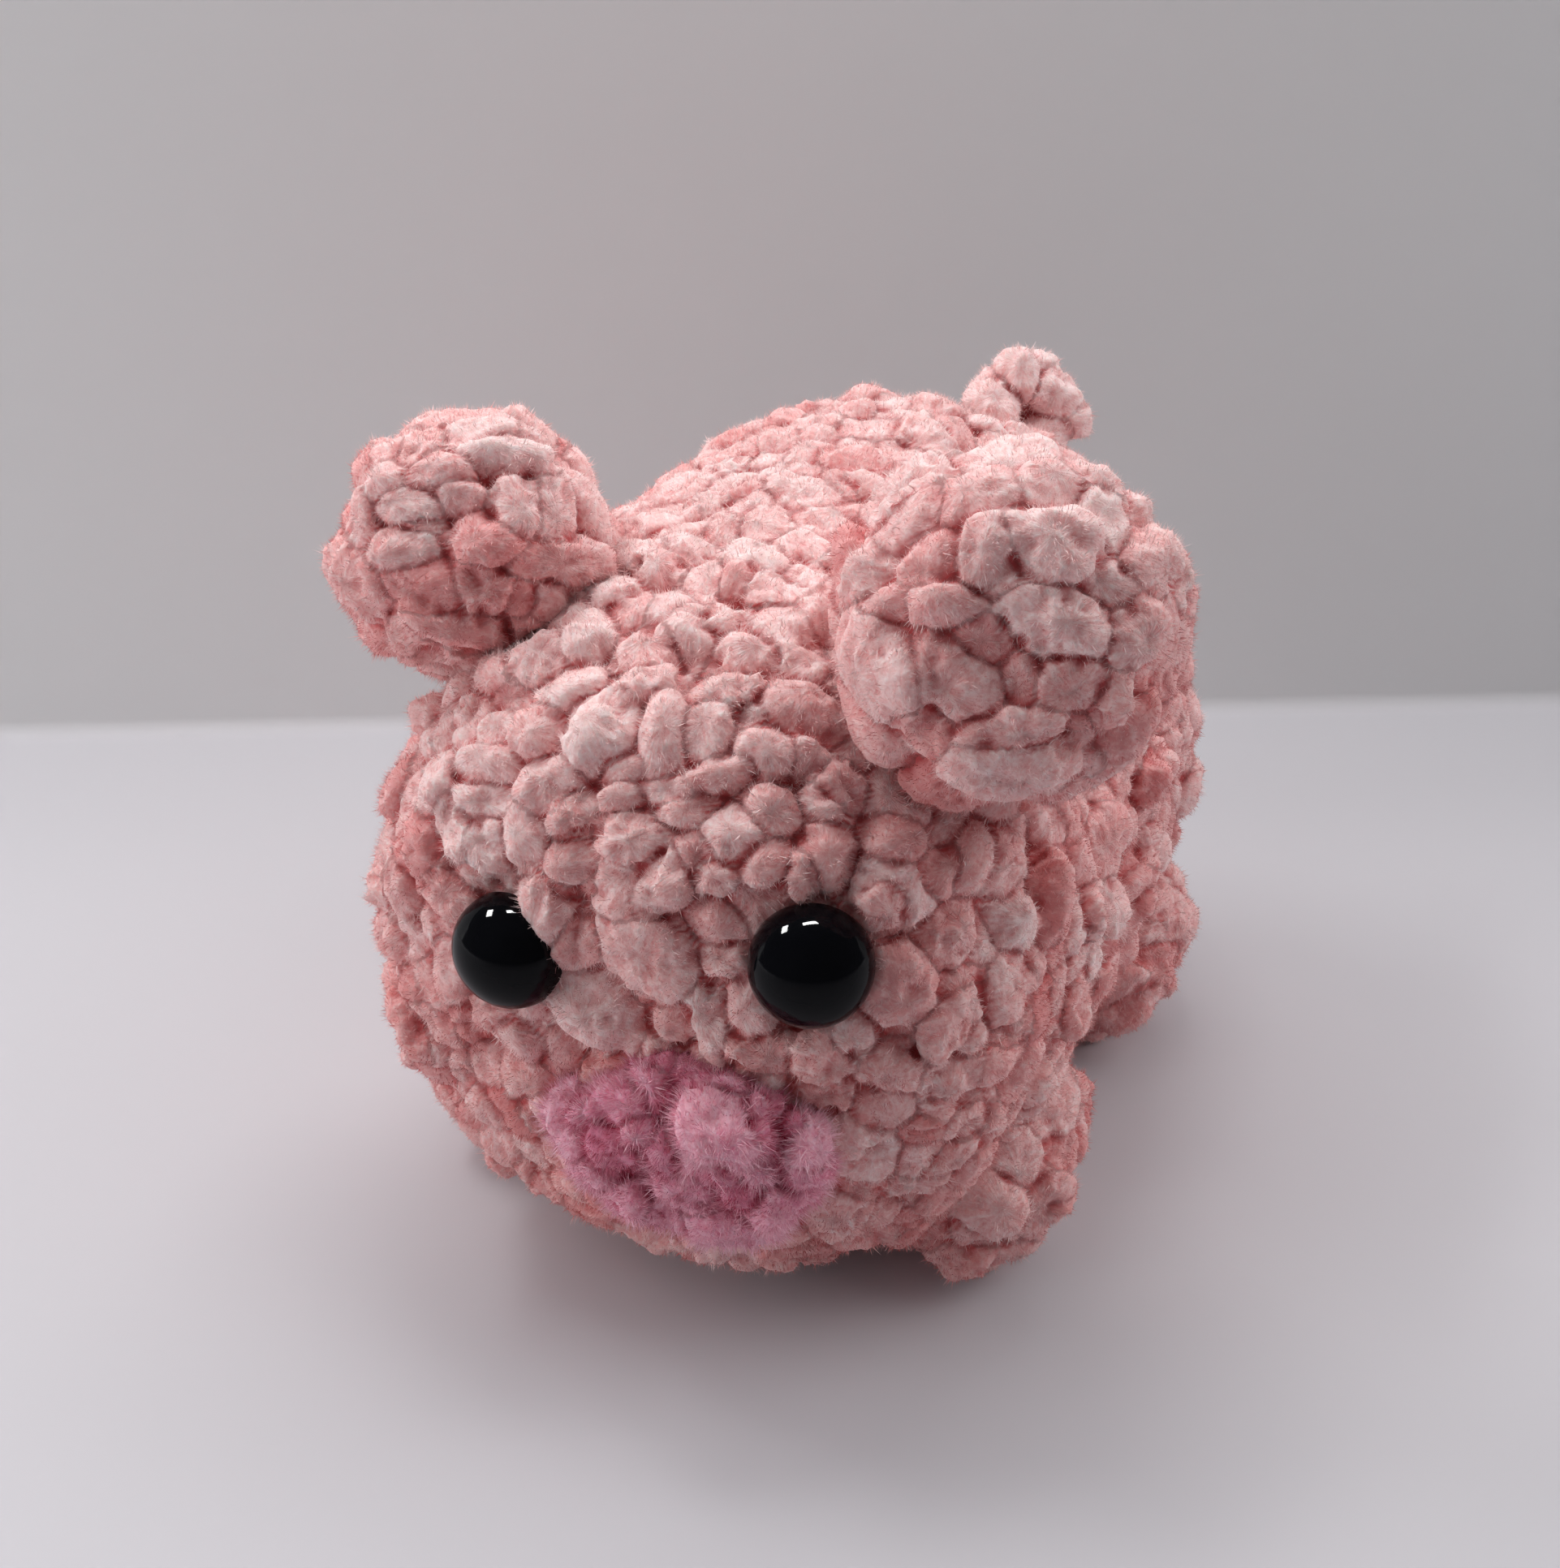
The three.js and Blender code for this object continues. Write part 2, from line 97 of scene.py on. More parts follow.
def makeCamera(view):
    axes = cameraAxes(view)
    lens = bpy.data.cameras.new("photoCamera")
    lens.sensor_width = view["sensor"]
    lens.lens = view["focalPixels"] * view["sensor"] / view["frameSize"][1]
    lens.shift_x, lens.shift_y = (pixels / view["frameSize"][1] for pixels in view["shiftPixels"])
    lens.clip_start, lens.clip_end = 0.01, 20
    point = (np.array(view["target"]) + axes[2] * view["distance"]) * mm
    bpy.context.scene.camera = linked("photoCamera", lens, placeOf(axes.T, point))


makeCamera(cameraView)
print("camera placed")


def raysThrough(pixels):  # the camera's place in mm, and the way from it through each pixel of the photograph
    axes = cameraAxes(cameraView)
    middle = np.array(cameraView["frameSize"]) / 2 + np.array(cameraView["shiftPixels"]) * (-1, 1)
    across, down = ((pixels - middle) / cameraView["focalPixels"]).T
    ways = across[:, None] * axes[0] - down[:, None] * axes[1] - axes[2]
    return np.array(cameraView["target"]) + axes[2] * cameraView["distance"], ways


# Forms that carry the stitches

def unit(vectors):  # each row at length 1
    return vectors / np.maximum(np.linalg.norm(vectors, axis=-1, keepdims=True), 1e-12)


def frameAt(point, yAxis, nearX=(1, 0, 0)):  # a 4 by 4 place whose Y axis points the given way
    y = unit(np.array(yAxis, float))
    x = np.array(nearX, float)
    x = unit(x - y * (x @ y))
    return placeOf(np.stack([x, y, np.cross(x, y)], 1), point)


def turnAbout(point, axis, angle):  # a 4 by 4 turn about a line, by the sum of its three parts
    x, y, z = unit(np.array(axis, float))
    cross = np.array([[0, -z, y], [z, 0, -x], [-y, x, 0]])
    turn = np.eye(3) + math.sin(angle) * cross + (1 - math.cos(angle)) * cross @ cross
    return placeOf(turn, np.array(point) - turn @ np.array(point))


def moved(place, points):
    return points @ place[:3, :3].T + place[:3, 3]


def turned(place, vectors):
    return vectors @ place[:3, :3].T


class Oval:
    # A squared-off oval about its own Y axis: across^n + along^n = 1, each as a share of its half size
    def __init__(self, half, power, place):
        self.half, self.power, self.place = np.array(half, float), power, place

    def profile(self, tilt):  # shares across and along at a tilt from the middle towards an end
        across, along = np.cos(tilt), np.sin(tilt)
        size = (np.abs(across) ** self.power + np.abs(along) ** self.power) ** (1 / self.power)
        return across / size, along / size

    def point(self, girth, tilt):  # own-frame point at a turn round the girth from the top
        across, along = self.profile(tilt)
        return self.half * np.stack([across * np.sin(girth), along + 0 * girth, across * np.cos(girth)], -1)

    def outward(self, points):  # the form's slope at own-frame points
        shares = points / self.half
        around = np.hypot(shares[..., 0], shares[..., 2])
        slope = np.stack([
            around ** (self.power - 2) * shares[..., 0],
            np.sign(shares[..., 1]) * np.abs(shares[..., 1]) ** (self.power - 1),
            around ** (self.power - 2) * shares[..., 2],
        ], -1) / self.half
        return unit(slope)

    def height(self, points):  # how far own-frame points stand outside the form, nearly
        shares = np.abs(points / self.half)
        around = np.hypot(shares[..., 0], shares[..., 2])
        size = (around ** self.power + shares[..., 1] ** self.power) ** (1 / self.power)
        size = np.maximum(size, 1e-6)
        reach = np.linalg.norm(points, axis=-1) * (1 - 1 / size)
        return reach * np.sum(unit(points) * self.outward(points), -1)

    def away(self, points):  # height of points given in the pig's frame
        return self.height(moved(np.linalg.inv(self.place), points))

    def wayOut(self, points):  # slope at points given in the pig's frame, in that frame
        return turned(self.place, self.outward(moved(np.linalg.inv(self.place), points)))


bodyShape = {
    "half": (38.9, 50.6, 39.9),
    "power": 3.7,
    "noseDown": 3.3,
    "centre": (-3.2832, 2.2305, 40.14),
    "faceRoll": 8.5,
    "faceShift": 0.1568,  # shares of the half width, and of the half height for places up the face
    "eyeAside": 0.4087,
    "eyeRise": 0.2857,
    "snoutDrop": 0.2306,
    "snoutAside": 0.0334,
}

bodyTurn = turnAbout((0, 0, 0), (1, 0, 0), math.radians(bodyShape["noseDown"]))[:3, :3]
body = Oval(bodyShape["half"], bodyShape["power"], placeOf(bodyTurn, bodyShape["centre"]))


def onFace(acrossShare, upShare):  # own-frame point on the front of the body, in the face's turned frame
    roll = math.radians(bodyShape["faceRoll"])
    across = body.half[0] * (bodyShape["faceShift"] + acrossShare)
    up = body.half[2] * upShare
    x, z = across * math.cos(roll) - up * math.sin(roll), across * math.sin(roll) + up * math.cos(roll)
    around = math.hypot(x / body.half[0], z / body.half[2])
    return np.array([x, -body.half[1] * (1 - around ** body.power) ** (1 / body.power), z])


def onGirth(turn, alongShare):  # own-frame point at a turn from the top towards the left, and a share along
    around = (1 - abs(alongShare) ** body.power) ** (1 / body.power)
    return body.half * np.array([around * math.sin(turn), alongShare, around * math.cos(turn)])


# Meshes

def pieceFrom(name, points, faces):  # points in millimetres, faces as an array of corner indices
    mesh = bpy.data.meshes.new(name)
    mesh.vertices.add(len(points))
    mesh.vertices.foreach_set("co", (np.asarray(points) * mm).astype(np.float32).ravel())
    count, corners = faces.shape
    mesh.loops.add(count * corners)
    mesh.loops.foreach_set("vertex_index", faces.astype(np.int32).ravel())
    mesh.polygons.add(count)
    mesh.polygons.foreach_set("loop_start", np.arange(0, count * corners, corners, dtype=np.int32))
    mesh.update(calc_edges=True)
    return linked(name, mesh)


def pointsOf(mesh):
    points = np.empty(len(mesh.vertices) * 3, np.float32)
    mesh.vertices.foreach_get("co", points)
    return points.reshape(-1, 3).astype(float) / mm


def normalsOf(mesh):
    normals = np.empty(len(mesh.vertices) * 3, np.float32)
    mesh.vertex_normals.foreach_get("vector", normals)
    return normals.reshape(-1, 3).astype(float)


def setPoints(mesh, points):
    mesh.vertices.foreach_set("co", (points * mm).astype(np.float32).ravel())
    mesh.update()


def setValue(mesh, name, values):  # a number, or a vector, at each vertex
    kind = "FLOAT" if values.ndim == 1 else "FLOAT_VECTOR"
    layer = mesh.attributes.new(name, kind, "POINT")
    layer.data.foreach_set("value" if values.ndim == 1 else "vector", values.astype(np.float32).ravel())


def neighbourMean(mesh, values):  # each vertex's mean over the vertices that share an edge with it
    ends = np.empty(len(mesh.edges) * 2, np.int32)
    mesh.edges.foreach_get("vertices", ends)
    a, b = ends.reshape(-1, 2).T
    both, other = np.concatenate([a, b]), np.concatenate([b, a])
    count = np.maximum(np.bincount(both, minlength=len(values)), 1)
    if values.ndim == 1:
        return np.bincount(both, values[other], len(values)) / count
    return np.stack([np.bincount(both, values[other, k], len(values)) / count for k in range(3)], 1)


def latticeNoise(points, seed):  # smooth noise from -1 to 1: random numbers at whole places, eased between
    low = np.floor(points).astype(np.int64)
    part = points - low
    ease = part * part * (3 - 2 * part)
    total = np.zeros(len(points))
    for corner in np.ndindex(2, 2, 2):
        at = low + corner
        mixed = (at[:, 0] * 73856093) ^ (at[:, 1] * 19349663) ^ (at[:, 2] * 83492791) ^ (seed * 2654435761)
        mixed = (mixed ^ (mixed >> 13)) * 1274126177 & 0xFFFFFFFF
        value = ((mixed ^ (mixed >> 16)) & 0xFFFF) / 32767.5 - 1
        weight = np.prod(np.where(corner, ease, 1 - ease), 1)
        total += weight * value
    return total


# Lobes: the plump stitches

def ballTemplate(levels):
    grown = bmesh.new()
    bmesh.ops.create_icosphere(grown, subdivisions=levels, radius=1)
    points = np.array([v.co for v in grown.verts])
    faces = np.array([[v.index for v in f.verts] for f in grown.faces])
    grown.free()
    return points, faces


ballPoints, ballFaces = ballTemplate(3)


profileSteps = 4001
endMargin = 0.2  # share of a round's height that stays free at each end of the profile
leastWidth = 3.0  # of a stitch in the smallest rounds


def stitchRounds(form, gauge, rng):
    # Rounds of equal height along the form's profile, worked as a spiral, each with as many stitches as its
    # girth holds
    tilt = np.linspace(-quarterTurn, quarterTurn, profileSteps)
    across, along = form.profile(tilt)
    mean = (form.half[0] + form.half[2]) / 2
    steps = np.hypot(np.diff(across * mean), np.diff(along * form.half[1]))
    length = np.concatenate([[0], np.cumsum(steps)])
    rounds = max(2, int(round(length[-1] / gauge["roundHeight"])))
    high = length[-1] / rounds
    found, start = [], 0.0
    for k in range(rounds):
        middle = (k + 0.5) * high
        girthLength = fullTurn * mean * np.interp(middle, length, across)
        count = max(gauge["fewest"], int(round(girthLength / gauge["stitchWidth"])))
        start += gauge["lean"]
        j = np.arange(count)
        girth = fullTurn * (j + start + rng.uniform(-1, 1, count) * gauge["wander"]) / count
        stray = rng.uniform(-1, 1, count) * gauge["wander"]
        at = middle + (j / count - 0.5) * high * gauge["spiral"] + stray * high
        t = np.interp(np.clip(at, endMargin * high, length[-1] - endMargin * high), length, tilt)
        point = form.point(girth, t)
        out = form.outward(point)
        aroundWay = unit(np.stack([np.cos(girth), 0 * girth, -np.sin(girth)], -1))
        aroundWay = unit(aroundWay - out * np.sum(aroundWay * out, -1, keepdims=True))
        found.append({
            "point": moved(form.place, point),
            "out": turned(form.place, out),
            "around": turned(form.place, aroundWay),
            "width": np.full(count, max(girthLength, gauge["fewest"] * leastWidth) / count),
            "high": np.full(count, high),
        })
    joined = {key: np.concatenate([f[key] for f in found]) for key in found[0]}
    joined["rear"] = np.cross(joined["out"], joined["around"])
    joined["rear"] *= np.sign(np.sum(joined["rear"] * form.place[:3, 1], 1) + 1e-9)[:, None]
    return joined


def lobesOn(places, plump, rng):
    # One plump lobe a stitch, or the two legs of its V side by side, each an oval turned and tipped a little
    n = len(places["point"])
    pair = rng.random(n) < plump["pairShare"]
    sets = []
    for side, mask in ((0, ~pair), (-1, pair), (1, pair)):  # 0 is a whole stitch, the others are legs
        count = int(mask.sum())
        width, high = places["width"][mask], places["high"][mask]
        turn = rng.normal(0, plump["turn"], count) - side * plump["legTurn"]
        tip = rng.normal(plump["tip"], plump["tipSpread"], count)
        out, around, rear = (places[k][mask] for k in ("out", "around", "rear"))
        e1 = around * np.cos(turn)[:, None] + rear * np.sin(turn)[:, None]
        e2 = -around * np.sin(turn)[:, None] + rear * np.cos(turn)[:, None]
        e2, e3 = (
            e2 * np.cos(tip)[:, None] + out * np.sin(tip)[:, None],
            -e2 * np.sin(tip)[:, None] + out * np.cos(tip)[:, None],
        )
        grow = 1 + rng.uniform(-1, 1, (count, 3)) * plump["sizeSpread"]
        across, along = (plump["legAcross"], plump["legAlong"]) if side else (plump["across"], plump["along"])
        half = np.stack([width * across, high * along, np.full(count, plump["rise"])], 1) * grow
        lift = rng.normal(0, plump["liftSpread"], count) - half[:, 2]
        aside = side * plump["legSpread"] * width
        centre = places["point"][mask] + around * aside[:, None] + out * lift[:, None]
        tone = rng.normal(0, 1, count)
        sets.append({"centre": centre, "axes": np.stack([e1, e2, e3], 2), "half": half, "tone": tone})
    return {key: np.concatenate([s[key] for s in sets]) for key in sets[0]}


def joinedLobes(*groups):
    return {key: np.concatenate([g[key] for g in groups]) for key in groups[0]}


def picked(lobes, mask):
    return {key: values[mask] for key, values in lobes.items()}


seenRules = {
    "thick": 3.3,  # half height of a lobe that the photograph shows
    "overlap": 1.14,  # how much wider a lobe is than what its neighbours leave of it
    "reach": (120, 380, 521),  # nearest, furthest and steps of the search along a ray, mm
    "leastFacing": 0.35,
    "mostStretch": 1.5,
    "tiltSpread": 0.16,
    "toneSpread": 0.5,
    "clearShare": 0.95,  # a random lobe goes where its middle lies within this share of a seen one
    "clearHeight": 6,
}


def seenLobes(form, rows, rng):
    # Lobes where the photograph shows them, each where the ray through its middle meets the form. Its size is
    # the size in pixels times the distance over the focal length. Each row: the middle across and down, the
    # width and height, all in pixels of the photograph, then the width's turn clockwise in degrees, the lift
    # off the form in mm and, where the stitch is painted paler or deeper than most, by how much: painted
    # light and shade, paler where light falls on it and deeper where shade falls
    x, y, wide, high, turn, lift, tone = np.array([(*row, 0)[:7] for row in rows], float).T
    count, thick = len(x), seenRules["thick"]
    eye, ways = raysThrough(np.stack([x, y], 1))
    reach = np.linspace(*seenRules["reach"])
    height = form.away((eye + ways[:, None, :] * reach[None, :, None]).reshape(-1, 3)).reshape(count, -1)
    hit = np.where((height < 0).any(1), np.argmax(height < 0, 1), np.argmin(height, 1))
    depth = reach[hit]
    point = eye + ways * depth[:, None]
    point = point - form.wayOut(point) * form.away(point)[:, None]
    out = form.wayOut(point)
    right, up, back = cameraAxes(cameraView)
    angle = np.radians(turn)[:, None]
    across = np.cos(angle) * right - np.sin(angle) * up
    down = -np.sin(angle) * right - np.cos(angle) * up
    facing = np.maximum(out @ back, seenRules["leastFacing"])[:, None]
    halves, axes = [], []
    for way, size in ((across, wide), (down, high)):
        tangent = way - back * (np.sum(way * out, 1) / facing[:, 0])[:, None]
        stretch = np.minimum(np.linalg.norm(tangent, axis=1), seenRules["mostStretch"])
        halves.append(size / 2 * depth / cameraView["focalPixels"] * stretch * seenRules["overlap"])
        axes.append(tangent)
    e3 = unit(out + rng.normal(0, seenRules["tiltSpread"], out.shape))
    e1 = unit(axes[0] - e3 * np.sum(axes[0] * e3, 1, keepdims=True))
    return {
        "centre": point + out * (lift - thick)[:, None],
        "axes": np.stack([e1, np.cross(e3, e1), e3], 2),
        "half": np.stack([halves[0], halves[1], np.full(count, thick)], 1),
        "tone": tone + rng.normal(0, seenRules["toneSpread"], count),
    }


def withSeen(lobes, seen):
    # The seen lobes, and those of the others that don't lie on their ground
    apart = np.einsum("sij,nsi->nsj", seen["axes"], lobes["centre"][:, None] - seen["centre"][None])
    share = np.hypot(apart[..., 0] / seen["half"][:, 0], apart[..., 1] / seen["half"][:, 1])
    taken = (share < seenRules["clearShare"]) & (np.abs(apart[..., 2]) < seenRules["clearHeight"])
    return joinedLobes(picked(lobes, ~taken.any(1)), seen)


waveNumber = 3.4  # of the slow waves that swell a lobe, in radians across its half size


def lobeMesh(lobes, squarish, bumps, rng):
    # Each lobe: a ball with its sides squared a little, swelled by three waves of its own, sized and placed
    square = np.sign(ballPoints) * np.abs(ballPoints) ** squarish
    n = len(lobes["centre"])
    ways = unit(rng.normal(size=(n, 3, 3)))
    phase = rng.uniform(0, fullTurn, (n, 3, 1))
    waves = np.cos(np.einsum("vk,nwk->nwv", ballPoints, ways) * waveNumber + phase)
    swell = 1 + bumps * waves.sum(1)
    local = square[None] * swell[:, :, None] * lobes["half"][:, None, :]
    points = np.einsum("nij,nvj->nvi", lobes["axes"], local) + lobes["centre"][:, None, :]
    faces = ballFaces[None] + (np.arange(n) * len(ballPoints))[:, None, None]
    return points.reshape(-1, 3), faces.reshape(-1, 3)


def closedFaces(rings, steps):  # faces of rings of points in order, then an end point beyond each end ring
    flat = np.arange(steps)
    ahead = (flat + 1) % steps
    row = np.arange(rings - 1)[:, None] * steps
    a, b, c, d = row + flat, row + ahead, row + steps + ahead, row + steps + flat
    end, last = rings * steps, (rings - 1) * steps
    return np.concatenate([
        np.stack([a, b, c], -1).reshape(-1, 3),
        np.stack([a, c, d], -1).reshape(-1, 3),
        np.stack([np.full(steps, end), ahead, flat], 1),
        np.stack([np.full(steps, end + 1), last + flat, last + ahead], 1),
    ])


def ovalMesh(form, growth, girthSteps=72, tiltSteps=48):  # the form's closed surface, grown all round
    inner = Oval(form.half + growth, form.power, form.place)
    girth = np.arange(girthSteps) * fullTurn / girthSteps
    tilt = -quarterTurn + np.arange(1, tiltSteps) * math.pi / tiltSteps
    grid = inner.point(girth[None, :] + 0 * tilt[:, None], tilt[:, None] + 0 * girth[None, :]).reshape(-1, 3)
    ends = inner.half * np.array([[0, -1, 0], [0, 1, 0]])
    return moved(form.place, np.concatenate([grid, ends])), closedFaces(tiltSteps - 1, girthSteps)


def stacked(*parts):  # several (points, faces) as one
    offset, points, faces = 0, [], []
    for p, f in parts:
        points.append(p)
        faces.append(f + offset)
        offset += len(p)
    return np.concatenate(points), np.concatenate(faces)


def fused(name, points, faces, voxel, softening):
    # One closed skin round everything, as a grid of small cubes sees it, then evened out
    rough = pieceFrom(name, points, faces)
    fuse = rough.modifiers.new("fuse", "REMESH")
    fuse.mode, fuse.voxel_size, fuse.use_smooth_shade = "VOXEL", voxel * mm, True
    soften = rough.modifiers.new("soften", "SMOOTH")
    soften.factor, soften.iterations = 0.5, softening
    bpy.context.view_layer.update()
    shaped = rough.evaluated_get(bpy.context.evaluated_depsgraph_get())
    mesh = bpy.data.meshes.new_from_object(shaped)
    old = rough.data
    rough.modifiers.clear()
    rough.data = mesh
    bpy.data.meshes.remove(old)
    mesh.name = name
    mesh.shade_smooth()
    return rough


blockSize = 20000  # points looked at together


def ownersOf(points, lobes):
    # The lobe that each point lies on, whose oval it is deepest in or nearest to, and how much nearer, as a
    # share of the lobe's size, it is to that one than to the next
    inverse = np.einsum("nij,nj,nkj->nik", lobes["axes"], 1 / lobes["half"] ** 2, lobes["axes"])
    centre = lobes["centre"]
    ic = np.einsum("nij,nj->ni", inverse, centre)
    weights = np.stack([
        inverse[:, 0, 0], inverse[:, 1, 1], inverse[:, 2, 2],
        2 * inverse[:, 0, 1], 2 * inverse[:, 0, 2], 2 * inverse[:, 1, 2],
        -2 * ic[:, 0], -2 * ic[:, 1], -2 * ic[:, 2], np.sum(ic * centre, 1),
    ]).astype(np.float32)
    owner, lead = np.empty(len(points), np.int64), np.empty(len(points))
    for start in range(0, len(points), blockSize):
        block = slice(start, start + blockSize)
        x, y, z = points[block].astype(np.float32).T
        terms = np.stack([x * x, y * y, z * z, x * y, x * z, y * z, x, y, z, np.ones_like(x)], 1)
        far = terms @ weights
        rank = np.argpartition(far, 1, 1)[:, :2]
        near = np.sqrt(np.maximum(np.take_along_axis(far, rank, 1), 0))
        first = np.argmin(near, 1)
        owner[block] = np.take_along_axis(rank, first[:, None], 1)[:, 0]
        lead[block] = np.abs(near[:, 1] - near[:, 0])
    return owner, lead


def dressYarn(piece, lobes, relief, rng, shape, onFloor):
    # Small tufts over the fused skin, and what the finish reads at each vertex: the crease, which paints
    # shade in the hollows, the tone, a random spread with painted light and shade on it, and the streak
    mesh = piece.data
    points, normals = pointsOf(mesh), normalsOf(mesh)
    owner, lead = ownersOf(points, lobes)
    edge = np.exp(-(lead / relief["edgeWidth"]) ** 2)
    local = np.einsum("vij,vi->vj", lobes["axes"][owner], points - lobes["centre"][owner])
    local = local / lobes["half"][owner]
    away = np.hypot(local[:, 0], local[:, 1])
    spoke = local[:, :2] / np.maximum(away, relief["spokeFrom"])[:, None]
    number = rng.uniform(0, 50, len(lobes["centre"]))[owner]
    streak = np.column_stack([spoke * relief["spokes"], number + away * relief["rayDrift"]])
    tuft = 1 - np.abs(latticeNoise(points / relief["tuftSize"], 11)) * 2
    fine = latticeNoise(points / relief["fineSize"], 23)
    ray = latticeNoise(streak, 31) * np.clip(away * relief["rayGrowth"], 0, 1)
    rough = rng.uniform(*relief["roughRange"], len(lobes["centre"]))[owner]
    rise = (relief["tuft"] * tuft + relief["fine"] * fine + relief["ray"] * ray) * rough
    points = points + normals * (rise - relief["groove"] * edge)[:, None]
    hollow = np.sum((neighbourMean(mesh, points) - points) * normals, 1)
    for _ in range(relief["hollowPasses"]):
        hollow = neighbourMean(mesh, hollow)
    if shape:
        points = shape(points)
    if onFloor:
        points[:, 2] = np.maximum(points[:, 2], 0)
    setPoints(mesh, points)
    # The crease measure, from hollows and the edges between lobes, paints shade deep in the creases and
    # shortens the pile there
    crease = np.clip(hollow / relief["hollowFull"] + edge * relief["edgeShare"], 0, 1)
    # Painted light and shade: a lobe that faces up is painted paler and one that faces down deeper, as light
    # falls from above
    upward = np.maximum(lobes["axes"][:, 2, 2] - relief["plainUp"], relief["leastUp"])
    tone = (lobes["tone"] + relief["topTone"] * upward)[owner]
    setValue(mesh, "crease", crease)
    setValue(mesh, "tone", tone)
    setValue(mesh, "streak", streak)
    outer = np.einsum("vij,vj->vi", lobes["axes"][owner][:, :, :2], spoke) * np.clip(away, 0, 1)[:, None]
    return {"points": points, "normals": normalsOf(mesh), "crease": crease, "tone": tone, "spoke": outer}


# Finishes

class Wire:
    # A socket that reads as a number in an expression: each operator adds a Math node
    def __init__(self, board, node, output=0):
        self.board, self.node = board, node
        self.socket = node.outputs[output] if len(node.outputs) else None

    def out(self, output):
        return Wire(self.board, self.node, output)

    def math(self, operation, *others, clamp=False):
        values = dict(enumerate((self, *others)))
        return self.board.node("ShaderNodeMath", {"operation": operation, "use_clamp": clamp}, values)

    def __add__(self, other):
        return self.math("ADD", other)

    def __mul__(self, other):
        return self.math("MULTIPLY", other)

    __radd__, __rmul__ = __add__, __mul__

    def __sub__(self, other):
        return self.math("SUBTRACT", other)

    def __rsub__(self, other):
        return self.board.node("ShaderNodeMath", {"operation": "SUBTRACT"}, {0: other, 1: self})

    def held(self):  # kept between 0 and 1
        return self.math("ADD", 0.0, clamp=True)


class Finish:
    def __init__(self, name, constants):
        self.material = bpy.data.materials.new(name)
        self.material.use_nodes = True
        self.tree = self.material.node_tree
        self.tree.nodes.clear()
        self.shader = self.node("ShaderNodeBsdfPrincipled", {}, constants)
        output = self.node("ShaderNodeOutputMaterial", {}, {"Surface": self.shader})
        self.surface = output.node.inputs["Surface"]

    def node(self, kind, settings=None, sockets=None):
        made = self.tree.nodes.new(kind)
        for key, value in (settings or {}).items():
            setattr(made, key, value)
        for key, value in (sockets or {}).items():
            self.plug(made.inputs[key], value)
        return Wire(self, made)

    def plug(self, socket, value):
        if isinstance(value, Wire):
            self.tree.links.new(value.socket, socket)
        elif socket.type == "RGBA" and len(value) == 3:
            socket.default_value = (*value, 1)
        else:
            socket.default_value = value

    def feed(self, **sockets):  # links of the surface shader, by socket name with its spaces left out
        for key, value in sockets.items():
            found = next(s for s in self.shader.node.inputs if s.name.replace(" ", "") == key)
            self.plug(found, value)

    def value(self, name):  # a number at each vertex
        return self.node("ShaderNodeAttribute", {"attribute_name": name}).out("Fac")

    def vector(self, name):
        return self.node("ShaderNodeAttribute", {"attribute_name": name}).out("Vector")

    def objectPlace(self):
        return self.node("ShaderNodeTexCoord").out("Object")

    def noise(self, place, scale, detail=2.0, roughness=0.5):
        sockets = {"Vector": place, "Scale": scale, "Detail": detail, "Roughness": roughness}
        return self.node("ShaderNodeTexNoise", {}, sockets)

    def mix(self, share, low, high):
        made = self.node("ShaderNodeMix", {"data_type": "RGBA"})
        self.plug(made.node.inputs[0], share)
        self.plug(made.node.inputs[6], low)
        self.plug(made.node.inputs[7], high)
        return made.out(2)

    def bump(self, height, distance, strength=1.0):
        return self.node("ShaderNodeBump", {}, {"Height": height, "Distance": distance, "Strength": strength})


def linear(red, green, blue):  # a screen colour from 0 to 255 as the renderer's own numbers
    shares = np.array([red, green, blue]) / 255
    return tuple(np.where(shares <= 0.04045, shares / 12.92, ((shares + 0.055) / 1.055) ** 2.4).tolist())


# The crest is the yarn's own pink. The pale goes into random streaks and is painted where light falls; the
# deep is painted where shade falls, in creases and underneath
pinkYarn = {
    "crest": linear(233, 165, 163),
    "pale": linear(252, 226, 224),
    "deep": linear(204, 92, 93),
    "sheen": 0.45,
}
yarnGrain = {
    "fineScale": 1500,
    "patchScale": 90,
    "rayScale": 1.3,
    "pale": 0.36,  # the share of pale yarn where nothing below adds to it
    "paleByRay": 1.4,
    "paleByFine": 1.6,
    "paleByTone": 0.14,
    "paleByPatch": 1.2,
    "deepByCrease": 1.15,
    "deepByFine": 0.25,
    "deepByTone": 0.16,
    "deepFrom": 0.2,
    "bumpDepth": 0.0004,
}


